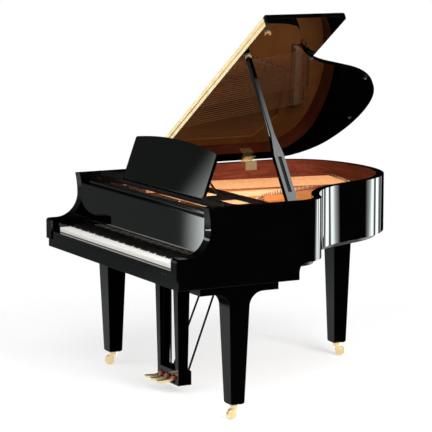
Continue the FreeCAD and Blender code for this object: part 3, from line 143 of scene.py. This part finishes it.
# Finishes: noise with its scale per metre, places of colours along a ramp, bumps as strength and depth
unstretched = (1, 1, 1)
even_stops = (0.3, 0.7)
fine_depth = 0.0004
lacquer_black = (0.0006, 0.00055, 0.0005)
lacquer_index = 1.6
lacquer_haze = {"scale": 9.0, "detail": 5.0, "roughness": 0.6}
lacquer_stops = (0.35, 0.7)
lacquer_deep_share = 0.55
lacquer_ripple = {"scale": 260.0, "detail": 2.0}
lacquer_bump = (0.006, 0.001)
wood_bands = {"scale": 1.0, "detail": 7.0, "roughness": 0.62}
wood_stops = (0.3, 0.5, 0.68)
wood_pores = {"scale": 7.0, "detail": 3.0, "roughness": 0.7}
pore_levels = ((0.36, 1.0), (0.46, 0.0))
pore_deep_share = 0.72
wood_smoother, wood_rougher = 0.08, 0.1
wood_bump = (0.12, 0.0006)
wood_coat_rough = 0.06
metal_patches = {"detail": 6.0, "roughness": 0.6}
metal_stops = (0.3, 0.62)
metal_smoother, metal_rougher = 0.06, 0.1
metal_ripple = {"scale": 1400.0, "detail": 2.0}
felt_fibres = {"scale": 900.0, "detail": 4.0, "roughness": 0.7}
felt_bump = (0.5, 0.0008)
felt_rough = 0.95
felt_sheen = 0.35
cover_grain = {"scale": 1.0, "detail": 5.0, "roughness": 0.6}
cover_stretch = (120.0, 9.0, 120.0)

# Where one finish gives way to another: y from the key slip, z from the floor
veneer_front = 0.62
key_cover_back = 0.3
rim_wood_low = 0.706
damper_felt_top = 0.918

# Veneer on the inside of the outer rim: faces behind a place, upright, and facing a middle
veneer_reach = 0.25
veneer_middle = (-0.2, 0.9)
veneer_upright, veneer_facing = 0.1, 0.25

# Small pieces; a profile is made of radius and height
plate_top = 0.893
pin_profile = ((0.0016, 0.0), (0.0016, 0.0135), (0.0009, 0.0145))
agraffe_y = 0.412
stud_radius, stud_head_radius = 0.0024, 0.0032
stud_head, stud_crown = 0.004, 0.001
stud_sides = 6
felt_width, felt_thickness, felt_setback = 0.01, 0.0035, 0.007
felt_crown_share, felt_side_share = 2 / 3, 0.6
felt_every = 6
lid_angle = math.radians(33.0)
lid_hinge_x, lid_hinge_z = -0.719, 0.987
lid_under, flap_upper = 0.001, 0.0491
lid_buffers = ((0.870, 1.401), (0.441, 1.535), (1.102, 0.975))
flap_buffer = (1.409, 0.857)
buffer_profile = ((0.008, 0.0), (0.008, 0.002), (0.0066, 0.0048), (0.0036, 0.0064), (0.0012, 0.0068))
buffer_sides = 20
pedal_pitch = 0.066
pedal_felt_y = (0.2965, 0.305)
pedal_felt_half, pedal_half = 0.0125, 0.0093
pedal_felt_low, pedal_felt_inner, pedal_felt_top = 0.0665, 0.078, 0.0815
pedal_felt_chamfer = 0.001
pedal_felt_mid = 0.3
pedal_slope = 0.344

# The middle of the key slip, from the box round the outer rim, whose arms reach a little past it
arm_reach = 0.007
rim_low, rim_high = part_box("outer_rim")
zero_x = (rim_low.x + rim_high.x) / 2
zero_y = rim_low.y + arm_reach


def at(x, y, z):
    # A place given from the middle of the key slip, at floor level.
    return Vector((zero_x + x, zero_y + y, z))


# Nodes that materials and the world are made of


def add(tree, kind, **settings):
    node = tree.nodes.new("ShaderNode" + kind)
    for name, value in settings.items():
        setattr(node, name, value)
    return node


def place_of(tree, scale):
    # Object coordinates, stretched so that grain can run along one axis.
    coordinates = add(tree, "TexCoord")
    mapping = add(tree, "Mapping")
    mapping.inputs["Scale"].default_value = scale
    tree.links.new(coordinates.outputs["Object"], mapping.inputs["Vector"])
    return mapping.outputs["Vector"]


def noise(tree, scale, detail, roughness=0.5, vector=None):
    node = add(tree, "TexNoise")
    node.inputs["Scale"].default_value = scale
    node.inputs["Detail"].default_value = detail
    node.inputs["Roughness"].default_value = roughness
    tree.links.new(vector or place_of(tree, unstretched), node.inputs["Vector"])
    return node.outputs["Fac"]


def ramp(tree, value, stops, colours):
    node = add(tree, "ValToRGB")
    elements = node.color_ramp.elements
    while len(elements) < len(stops):
        elements.new(1)
    for element, stop, colour in zip(elements, stops, colours):
        element.position = stop
        element.color = (*colour, 1)
    tree.links.new(value, node.inputs["Fac"])
    return node.outputs["Color"]


def grey_ramp(tree, value, levels):
    stops = [stop for stop, level in levels]
    return ramp(tree, value, stops, [(level, level, level) for stop, level in levels])


def spread(tree, value, low, high):
    # From low to high as a value goes from nought to one.
    node = add(tree, "MapRange")
    node.inputs["To Min"].default_value = low
    node.inputs["To Max"].default_value = high
    tree.links.new(value, node.inputs["Value"])
    return node.outputs["Result"]


def fraction(tree, value, first, last, rise="LINEAR"):
    # From nought to one as a value goes from first to last.
    node = add(tree, "MapRange", interpolation_type=rise)
    node.inputs["From Min"].default_value = first
    node.inputs["From Max"].default_value = last
    tree.links.new(value, node.inputs["Value"])
    return node.outputs["Result"]


def eased(tree, value, first, last):
    return fraction(tree, value, first, last, "SMOOTHSTEP")


def window(tree, value, bottom, top):
    # One between two soft edges, nought outside them.
    return product(tree, eased(tree, value, *bottom), eased(tree, value, *reversed(top)))


def worked(tree, operation, *values):
    # A sum on numbers or on the outcome of other nodes.
    node = add(tree, "Math", operation=operation)
    for socket, value in zip(node.inputs, values):
        if isinstance(value, float):
            socket.default_value = value
        else:
            tree.links.new(value, socket)
    return node.outputs["Value"]


def product(tree, first, *others):
    for other in others:
        first = worked(tree, "MULTIPLY", first, other)
    return first


def beyond(tree, axis, edge):
    # One past this place along an axis of the piece, else nought.
    split = add(tree, "SeparateXYZ")
    tree.links.new(place_of(tree, unstretched), split.inputs["Vector"])
    return worked(tree, "GREATER_THAN", split.outputs[axis], edge)


def toward(tree, direction, side):
    # How nearly a direction points to one side, as a cosine.
    node = add(tree, "VectorMath", operation="DOT_PRODUCT")
    tree.links.new(direction, node.inputs[0])
    node.inputs[1].default_value = side
    return node.outputs["Value"]


def bump(tree, value, strength, distance):
    node = add(tree, "Bump")
    node.inputs["Strength"].default_value = strength
    node.inputs["Distance"].default_value = distance
    tree.links.new(value, node.inputs["Height"])
    return node.outputs["Normal"]


def blended(tree, factor, first, second):
    # One colour, giving way to another as the factor goes from nought to one.
    node = add(tree, "Mix", data_type="RGBA")
    tree.links.new(factor, node.inputs["Factor"])
    for socket, value in (("A", first), ("B", second)):
        target = [one for one in node.inputs if one.name == socket and one.type == "RGBA"][0]
        if isinstance(value, tuple):
            target.default_value = (*value, 1)
        else:
            tree.links.new(value, target)
    return [one for one in node.outputs if one.type == "RGBA"][0]


def mixed(tree, factor, first, second):
    # One shader, giving way to another as the factor goes from nought to one.
    node = add(tree, "MixShader")
    for socket, value in zip(node.inputs, (factor, first, second)):
        tree.links.new(value, socket)
    return node.outputs["Shader"]


# Materials


def new_material(name):
    made = bpy.data.materials.new(name)
    made.use_nodes = True
    tree = made.node_tree
    return made, tree, tree.nodes["Principled BSDF"]


def dress(tree, shader, **values):
    sockets = {"colour": "Base Color", "rough": "Roughness", "normal": "Normal"}
    for name, value in values.items():
        tree.links.new(value, shader.inputs[sockets[name]])


def lacquer(name, colour, smooth, dull):
    # Polished lacquer: faint polishing haze and the least ripple.
    made, tree, shader = new_material(name)
    haze = noise(tree, **lacquer_haze)
    ripple = noise(tree, **lacquer_ripple)
    deeper = tuple(lacquer_deep_share * part for part in colour)
    dress(tree, shader, colour=ramp(tree, haze, lacquer_stops, (deeper, colour)),
          rough=spread(tree, haze, smooth, dull), normal=bump(tree, ripple, *lacquer_bump))
    shader.inputs["IOR"].default_value = lacquer_index
    return made


def timber(name, tones, grain, rough, gloss=0.0, black_before=None):
    # Sawn or veneered wood, from dark to light: broad bands, fine pores and a matching bump;
    # black_before names an axis and a place on it before which the wood is lacquered black.
    made, tree, shader = new_material(name)
    place = place_of(tree, grain)
    bands = noise(tree, **wood_bands, vector=place)
    pores = noise(tree, **wood_pores, vector=place)
    darker = tuple(pore_deep_share * part for part in tones[0])
    hollows = grey_ramp(tree, pores, pore_levels)
    colour = blended(tree, hollows, ramp(tree, bands, wood_stops, tones), darker)
    if black_before:
        colour = blended(tree, beyond(tree, *black_before), lacquer_black, colour)
    dress(tree, shader, colour=colour, normal=bump(tree, pores, *wood_bump),
          rough=spread(tree, bands, rough - wood_smoother, rough + wood_rougher))
    shader.inputs["Coat Weight"].default_value = gloss
    shader.inputs["Coat Roughness"].default_value = wood_coat_rough
    return made


def metal(name, light, dark, rough, patch_scale, ripple, metallic=1.0):
    # Cast, drawn or polished metal with tarnish in the hollows of its noise; paint is less metallic.
    made, tree, shader = new_material(name)
    patches = noise(tree, patch_scale, **metal_patches)
    fine = noise(tree, **metal_ripple)
    dress(tree, shader, colour=ramp(tree, patches, metal_stops, (dark, light)),
          rough=spread(tree, patches, rough + metal_rougher, rough - metal_smoother),
          normal=bump(tree, fine, ripple, fine_depth))
    shader.inputs["Metallic"].default_value = metallic
    return made


def felt(name, light, dark):
    made, tree, shader = new_material(name)
    fibres = noise(tree, **felt_fibres)
    dress(tree, shader, colour=ramp(tree, fibres, even_stops, (dark, light)),
          normal=bump(tree, fibres, *felt_bump))
    shader.inputs["Roughness"].default_value = felt_rough
    shader.inputs["Sheen Weight"].default_value = felt_sheen
    return made


def two_part(name, first, second, axis, edge, rough, ripple):
    # One piece in two finishes, parted at a place along an axis; each is a pair of colours.
    made, tree, shader = new_material(name)
    grain = noise(tree, **cover_grain, vector=place_of(tree, cover_stretch))
    side = beyond(tree, axis, edge)
    near, far = [ramp(tree, grain, even_stops, pair) for pair in (first, second)]
    dress(tree, shader, colour=blended(tree, side, near, far), rough=spread(tree, side, *rough),
          normal=bump(tree, grain, ripple, fine_depth))
    return made


black_lacquer = lacquer("black_lacquer", lacquer_black, smooth=0.008, dull=0.022)
satin_lacquer = lacquer("satin_lacquer", (0.006, 0.006, 0.006), smooth=0.24, dull=0.34)
dull_lacquer = lacquer("dull_lacquer", (0.0016, 0.0016, 0.0016), smooth=0.5, dull=0.62)

mahogany_tones = ((0.085, 0.0145, 0.0062), (0.15, 0.0275, 0.0112), (0.23, 0.05, 0.02))
spruce_tones = ((0.55, 0.2, 0.055), (0.66, 0.27, 0.085), (0.74, 0.34, 0.12))
beech_tones = ((0.44, 0.27, 0.14), (0.55, 0.36, 0.2), (0.63, 0.44, 0.27))
beech_grain = (8.0, 90.0, 90.0)
mahogany = timber("mahogany", mahogany_tones, grain=(5.0, 5.0, 60.0), rough=0.34, gloss=0.25,
                  black_before=("Y", zero_y + veneer_front))
spruce = timber("spruce", spruce_tones, grain=(140.0, 5.0, 60.0), rough=0.42, gloss=0.3)
beech = timber("beech", beech_tones, grain=beech_grain, rough=0.5)
rim_wood = timber("rim_wood", beech_tones, grain=beech_grain, rough=0.4, black_before=("Z", rim_wood_low))

gold_plate = metal("gold_plate", light=(0.76, 0.275, 0.075), dark=(0.62, 0.2, 0.05), rough=0.42,
                   patch_scale=7.0, ripple=0.12, metallic=0.3)
brass = metal("brass", light=(0.95, 0.77, 0.45), dark=(0.88, 0.66, 0.33), rough=0.17,
              patch_scale=14.0, ripple=0.03, metallic=0.8)
steel = metal("steel", light=(0.6, 0.56, 0.52), dark=(0.42, 0.38, 0.34), rough=0.24,
              patch_scale=30.0, ripple=0.05)
# The strings' orange-brown colour is a painted reflection of the gold plate and soundboard beneath them; bare
# steel strings would be grey.
strings_painted_reflection = metal("strings_painted_reflection", light=(0.76, 0.44, 0.22), dark=(0.6, 0.32, 0.14), rough=0.32,
                    patch_scale=30.0, ripple=0.05, metallic=0.3)
copper = metal("copper", light=(0.8, 0.37, 0.16), dark=(0.6, 0.25, 0.1), rough=0.3,
               patch_scale=40.0, ripple=0.08, metallic=0.4)

white_felt = felt("white_felt", light=(0.83, 0.8, 0.72), dark=(0.68, 0.64, 0.55))
dark_rubber = felt("dark_rubber", light=(0.012, 0.012, 0.012), dark=(0.006, 0.006, 0.006))
red_felt = felt("red_felt", light=(0.42, 0.02, 0.025), dark=(0.26, 0.008, 0.012))

raw_wood = ((0.5, 0.33, 0.19), (0.63, 0.45, 0.28))
white_cover = ((0.82, 0.8, 0.75), (0.86, 0.85, 0.81))
black_cover = ((0.0015, 0.0015, 0.0015), (0.005, 0.0048, 0.0046))
damper_felt = ((0.66, 0.62, 0.53), (0.8, 0.77, 0.69))
damper_black = ((0.004, 0.004, 0.004), (0.009, 0.009, 0.009))
ivory_white = two_part("ivory_white", white_cover, raw_wood, "Y", zero_y + key_cover_back,
                       rough=(0.14, 0.5), ripple=0.02)
ebony_black = two_part("ebony_black", black_cover, raw_wood, "Y", zero_y + key_cover_back,
                       rough=(0.2, 0.5), ripple=0.06)
damper_stuff = two_part("damper_stuff", damper_felt, damper_black, "Z", damper_felt_top,
                        rough=(0.95, 0.25), ripple=0.3)

own_materials = {
    "inner_rim": rim_wood,
    "half_prop": dull_lacquer,
    "lyre_braces": black_lacquer,
    # The treble strings take the colour that holds the painted reflection of the gold plate.
    "treble_strings": strings_painted_reflection,
    "dampers": damper_stuff,
}
slot_materials = {
    "polished_black": black_lacquer,
    "satin_black": satin_lacquer,
    "spruce": spruce,
    "beech": beech,
    "plate_gold": gold_plate,
    "brass": brass,
    "steel": steel,
    "copper": copper,
    "key_white": ivory_white,
    "key_black": ebony_black,
    "felt": white_felt,
}

# The pieces that are carried over as they are
slot_of = {part["node"]: part["material_slot"] for part in frame["record"]["subparts"]}


def edge_width(name):
    if name.startswith("keys_"):
        return key_edge
    if slot_of[name] in fine_slots:
        return fine_edge
    return case_edge


def round_edges(name, node):
    edge = node.modifiers.new("edge", "BEVEL")
    edge.width = edge_width(name)
    edge.segments = edge_steps
    edge.limit_method = "ANGLE"
    edge.angle_limit = math.radians(edge_angle)
    edge.harden_normals = False


def finish_node(name, node):
    # Gives a carried-over piece its material, rounded edges and smooth curves.
    mesh = node.data
    mesh.materials.clear()
    mesh.materials.append(own_materials.get(name) or slot_materials[slot_of[name]])
    if "custom_normal" in mesh.attributes:
        mesh.attributes.remove(mesh.attributes["custom_normal"])
    for polygon in mesh.polygons:
        polygon.use_smooth = True
        polygon.material_index = 0
    weld = node.modifiers.new("weld", "WELD")
    weld.merge_threshold = weld_gap
    if name not in plain_nodes:
        round_edges(name, node)
    split = node.modifiers.new("split", "EDGE_SPLIT")
    split.split_angle = math.radians(smooth_angle)
    level = node.modifiers.new("level", "WEIGHTED_NORMAL")
    level.weight = flat_weight


def veneer_rim():
    # The inside of the outer rim is veneered.
    mesh = cad_nodes["outer_rim"].data
    mesh.materials.append(mahogany)
    middle = at(*veneer_middle, 0)
    for polygon in mesh.polygons:
        inward = (middle - polygon.center).to_2d().normalized()
        facing = inward.dot(polygon.normal.to_2d()) > veneer_facing
        upright = abs(polygon.normal.z) < veneer_upright
        if upright and facing and polygon.center.y > zero_y + veneer_reach:
            polygon.material_index = 1


for node_name, node in cad_nodes.items():
    finish_node(node_name, node)
veneer_rim()

# Small pieces that sit on the larger ones


def piece(name, build, material, body):
    mesh = bpy.data.meshes.new(name)
    bmesh.ops.recalc_face_normals(build, faces=build.faces)
    build.to_mesh(mesh)
    build.free()
    made = bpy.data.objects.new(name, mesh)
    bpy.context.scene.collection.objects.link(made)
    mesh.materials.append(material)
    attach(made, body)


def joined(build, rings):
    # A closed skin over a row of rings of points.
    rows = [[build.verts.new(point) for point in ring] for ring in rings]
    for low, high in zip(rows, rows[1:]):
        for number in range(len(low)):
            following = (number + 1) % len(low)
            build.faces.new((low[number], low[following], high[following], high[number]))
    build.faces.new(rows[0][::-1])
    build.faces.new(rows[-1])


def spun(build, place, axis, profile, sides):
    # A small turned piece that stands on a place.
    turn = axis.to_track_quat("Z", "Y").to_matrix()
    angles = [2 * math.pi * number / sides for number in range(sides)]
    rings = []
    for radius, height in profile:
        ring = [Vector((radius * math.cos(angle), radius * math.sin(angle), height)) for angle in angles]
        rings.append([place + turn @ point for point in ring])
    joined(build, rings)


def on_plate(build, x, y, profile):
    # A small turned piece that stands upright on the iron plate.
    spun(build, Vector((x, y, plate_top)), Vector((0, 0, 1)), profile, stud_sides)


def island_of(build, waiting):
    # The points of one string, which are taken off the list of those that wait.
    island, edge = [], [min(waiting)]
    waiting.discard(edge[0])
    while edge:
        vertex = build.verts[edge.pop()]
        island.append(vertex.co.copy())
        near = [link.other_vert(vertex).index for link in vertex.link_edges]
        fresh = [number for number in near if number in waiting]
        waiting.difference_update(fresh)
        edge.extend(sorted(set(fresh)))
    return island


def string_lines(node_name):
    # The front and back end of each string of a group, in order across the piano.
    build = bmesh.new()
    build.from_mesh(cad_nodes[node_name].data)
    bmesh.ops.remove_doubles(build, verts=build.verts, dist=weld_gap)
    build.verts.ensure_lookup_table()
    waiting, lines = set(range(len(build.verts))), []
    while waiting:
        island = sorted(island_of(build, waiting), key=lambda point: point.y)
        half = len(island) // 2
        lines.append([sum(part, Vector()) / len(part) for part in (island[:half], island[half:])])
    build.free()
    return sorted(lines, key=lambda line: line[1].x)


def hitch_pin(build, back):
    # It stands on the plate at the back end of a string and reaches over it.
    foot, *upper = pin_profile
    rise = back.z - plate_top
    on_plate(build, back.x, back.y, [foot] + [(radius, height + rise) for radius, height in upper])


def agraffe(build, front, back):
    # A stud on the plate, with the string through the middle of its head.
    share = (zero_y + agraffe_y - front.y) / (back.y - front.y)
    spot = front.lerp(back, share)
    top = spot.z - plate_top + stud_head / 2
    neck = top - stud_head
    profile = ((stud_radius, 0.0), (stud_radius, neck), (stud_head_radius, neck), (stud_head_radius, top),
               (stud_radius, top + stud_crown))
    on_plate(build, spot.x, spot.y, profile)


def felt_ribbon(name, points):
    # A red felt on the plate, under the back ends of the strings.
    across = Vector((0, felt_width / 2, 0))
    crown = felt_crown_share * across
    thick = Vector((0, 0, felt_thickness))
    side = felt_side_share * thick
    build = bmesh.new()
    rings = []
    for point in points:
        low = Vector((point.x, point.y - felt_setback, plate_top))
        rings.append([low - across, low + across, low + across + side, low + crown + thick,
                      low - crown + thick, low - across + side])
    joined(build, rings)
    piece(name, build, red_felt, "case")


def string_pieces():
    pins, studs = bmesh.new(), bmesh.new()
    for node_name in ("treble_strings", "bass_strings"):
        lines = string_lines(node_name)
        for front, back in lines:
            hitch_pin(pins, back)
            agraffe(studs, front, back)
        felt_ribbon(node_name + "_felt", [back for front, back in lines][::felt_every])
    piece("hitch_pins", pins, steel, "case")
    piece("agraffes", studs, brass, "case")


def on_lid(along, y, off):
    # A place on the open lid: along it from its hinges, and off its underside.
    across, up = math.cos(lid_angle), math.sin(lid_angle)
    return at(lid_hinge_x + along * across - off * up, y, lid_hinge_z + along * up + off * across)


def lid_pieces():
    # Rubber buffers under the lid and on the flap that is folded back on it.
    outward = Vector((-math.sin(lid_angle), 0, math.cos(lid_angle)))
    build = bmesh.new()
    for along, y in lid_buffers:
        spun(build, on_lid(along, y, lid_under), -outward, buffer_profile, buffer_sides)
    piece("lid_buffers", build, dark_rubber, "lid")
    build = bmesh.new()
    spun(build, on_lid(*flap_buffer, flap_upper), outward, buffer_profile, buffer_sides)
    piece("flap_buffer", build, dark_rubber, "flap")


def pedal_felts():
    # A red felt saddle over each pedal, where it goes into the box.
    shoulder = pedal_felt_top - pedal_felt_chamfer
    right = ((pedal_half, pedal_felt_top), (pedal_felt_half, shoulder), (pedal_felt_half, pedal_felt_low),
             (pedal_half, pedal_felt_low), (pedal_half, pedal_felt_inner))
    left = [(-x, z) for x, z in reversed(right)]
    for name, side in (("left", -1), ("middle", 0), ("right", 1)):
        build = bmesh.new()
        rings = []
        for y in pedal_felt_y:
            lift = (y - pedal_felt_mid) * pedal_slope
            rings.append([at(side * pedal_pitch + x, y, z + lift) for x, z in (*right, *left)])
        joined(build, rings)
        piece("pedal_felt_" + name, build, red_felt, "pedal_" + name)


string_pieces()
lid_pieces()
pedal_felts()

# Floor


def floor_material():
    # Pale, and clear towards the edge so that it runs out into the white behind it.
    made, tree, shader = new_material("floor")
    shader.inputs["Roughness"].default_value = floor_rough
    shader.inputs["Specular IOR Level"].default_value = 0.0
    dress(tree, shader, colour=ramp(tree, noise(tree, **floor_speckle), even_stops, floor_tones))
    distance = add(tree, "VectorMath", operation="LENGTH")
    tree.links.new(place_of(tree, (1, 1, 0)), distance.inputs[0])
    clear = eased(tree, distance.outputs["Value"], floor_clear_radius, floor_radius)
    lifted = product(tree, add(tree, "LightPath").outputs["Is Camera Ray"], floor_lift_share)
    white = add(tree, "Emission").outputs["Emission"]
    empty = add(tree, "BsdfTransparent").outputs["BSDF"]
    surface = mixed(tree, clear, mixed(tree, lifted, shader.outputs["BSDF"], white), empty)
    tree.links.new(surface, tree.nodes["Material Output"].inputs["Surface"])
    return made


def floor():
    mesh = bpy.data.meshes.new("floor")
    build = bmesh.new()
    bmesh.ops.create_circle(build, cap_ends=True, segments=floor_sides, radius=floor_radius)
    build.to_mesh(mesh)
    build.free()
    disc = bpy.data.objects.new("floor", mesh)
    bpy.context.scene.collection.objects.link(disc)
    disc.location = (0, 0, -floor_drop)
    mesh.materials.append(floor_material())
    disc.visible_glossy = False


# The studio that polished faces mirror


def pale_floor(tree, direction, height):
    # The floor below, on the treble side in front.
    near = eased(tree, toward(tree, direction, pale_floor_side), *pale_floor_edge)
    return product(tree, eased(tree, height, *pale_floor_depth), pale_floor_level, near)


def front_light(tree, direction, height):
    # The bright wall before the bass end, banded by height.
    shades = grey_ramp(tree, fraction(tree, height, *height_span), height_levels)
    return product(tree, shades, eased(tree, toward(tree, direction, bright_side), *bright_edge))


def strip_light(tree, turn, height, levels, bottom, top):
    # Tall soft strips behind the treble side, which the curves of the rim mirror.
    first, last = strip_turns
    share = fraction(tree, turn, math.radians(first), math.radians(last))
    shades = grey_ramp(tree, share, [((angle - first) / (last - first), level) for angle, level in levels])
    return product(tree, shades, window(tree, height, bottom, top), strip_radiance)


def end_glow(tree, direction, height, glow):
    # A light that an upright board mirrors towards its treble end.
    side = window(tree, toward(tree, direction, glow_side), glow["edge"], glow_past)
    near = eased(tree, toward(tree, direction, bright_side), *bright_edge)
    return product(tree, side, window(tree, height, glow["low"], glow["high"]), near, glow["radiance"])


def prop_light(tree, direction):
    # A softbox overhead that the lid prop mirrors along its lower part.
    near = eased(tree, toward(tree, direction, prop_side), *prop_edge)
    grade = eased(tree, toward(tree, direction, prop_slope), *prop_grade)
    return product(tree, near, grade, prop_radiance)


def mirrored(tree):
    # How bright the dim studio is in each direction.
    direction = add(tree, "TexCoord").outputs["Generated"]
    split = add(tree, "SeparateXYZ")
    tree.links.new(direction, split.inputs["Vector"])
    height = split.outputs["Z"]
    turn = worked(tree, "ARCTAN2", split.outputs["Y"], split.outputs["X"])
    parts = [pale_floor(tree, direction, height), front_light(tree, direction, height)]
    parts.append(prop_light(tree, direction))
    parts.append(strip_light(tree, turn, height, strip_levels, strip_bottom, strip_top))
    parts.append(strip_light(tree, turn, height, low_strip_levels, low_strip_bottom, strip_bottom))
    parts += [end_glow(tree, direction, height, glow) for glow in (fall_glow, desk_glow)]
    level = dark_level
    for light in parts:
        level = worked(tree, "ADD", level, light)
    return level


def studio():
    # White behind the object, a dim studio in what is polished, and plain light from all round.
    world = bpy.data.worlds.new("studio")
    bpy.context.scene.world = world
    world.use_nodes = True
    tree = world.node_tree
    tree.nodes.clear()
    path = add(tree, "LightPath")
    white, dim, plain = [add(tree, "Background") for _ in range(3)]
    white.inputs["Color"].default_value = pure_white
    dim.inputs["Color"].default_value = studio_tint
    tree.links.new(mirrored(tree), dim.inputs["Strength"])
    plain.inputs["Color"].default_value = pure_white
    plain.inputs["Strength"].default_value = ambient_strength
    inner = mixed(tree, path.outputs["Is Glossy Ray"], plain.outputs["Background"], dim.outputs["Background"])
    seen = worked(tree, "MAXIMUM", path.outputs["Is Camera Ray"], path.outputs["Is Transmission Ray"])
    outer = mixed(tree, seen, inner, white.outputs["Background"])
    tree.links.new(outer, add(tree, "OutputWorld").inputs["Surface"])


# Lamps and camera


def turned(turn, lift, distance):
    # A place at this turn from the treble side and at this lift, round a point above the key slip.
    around, up = math.radians(turn), math.radians(lift)
    flat = distance * math.cos(up)
    return at(flat * math.cos(around), flat * math.sin(around), aim_height + distance * math.sin(up))


def lamp(name, place, target, size, power):
    data = bpy.data.lights.new(name, "AREA")
    data.shape = "RECTANGLE"
    data.size, data.size_y = size
    data.energy = power
    holder = bpy.data.objects.new(name, data)
    bpy.context.scene.collection.objects.link(holder)
    holder.location = place
    holder.rotation_euler = (target - place).to_track_quat("-Z", "Y").to_euler()
    holder.visible_camera = False
    return holder


def panel(name, place, target, size, radiance):
    # A lamp that looks this bright whatever its size.
    width, height = size
    return lamp(name, place, target, size, radiance * math.pi * width * height)


def front_panel():
    # An upright panel between two places in plan, before the treble end.
    first, second = [at(*end, (front_low + front_high) / 2) for end in front_ends]
    middle = (first + second) / 2
    across = second - first
    facing = Vector((across.y, -across.x, 0))
    size = (across.length, front_high - front_low)
    front = panel("front_panel", middle, middle + facing, size, front_radiance)
    front.visible_diffuse = False


def lights():
    front_panel()
    middle = at(0, aim_back, aim_height)
    lamp("key", turned(key_turn, key_lift, soft_distance), middle, soft_size, key_power)
    top = panel("top", turned(top_turn, top_lift, top_distance), middle, top_size, top_radiance)
    fill = lamp("fill", turned(fill_turn, fill_lift, soft_distance), middle, soft_size, fill_power)
    side = lamp("side", turned(side_turn, side_lift, soft_distance), middle, soft_size, side_power)
    for soft in (top, fill, side):
        soft.visible_glossy = False


def metal_lights():
    # White panels round the piano and a pale floor, which only its brass and steel mirror.
    bare = bpy.data.collections.new("bare_metal")
    for made in bpy.data.objects:
        if made.type == "MESH" and made.data.materials and made.data.materials[0] in (brass, steel):
            bare.objects.link(made)
    middle = at(0, aim_back, aim_height)
    panels = []
    for number, turn in enumerate(metal_panel_turns):
        place = turned(turn, metal_panel_lift, metal_panel_distance)
        panels.append(panel("metal_panel_%d" % number, place, middle, metal_panel_size, metal_panel_radiance))
    low = Vector((0, 0, -floor_drop / 2))
    panels.append(panel("metal_floor", low, -low, metal_floor_size, metal_floor_radiance))
    for one in panels:
        one.visible_diffuse = False
        one.light_linking.receiver_collection = bare


def camera():
    data = bpy.data.cameras.new("camera")
    data.lens = camera_lens
    data.sensor_width = camera_sensor
    data.clip_end = camera_far
    holder = bpy.data.objects.new("camera", data)
    bpy.context.scene.collection.objects.link(holder)
    holder.location = at(*camera_place)
    holder.rotation_euler = (math.radians(camera_pitch), 0, math.radians(camera_heading))
    bpy.context.scene.camera = holder


floor()
studio()
lights()
metal_lights()
camera()
bpy.context.scene.view_settings.view_transform = "Standard"
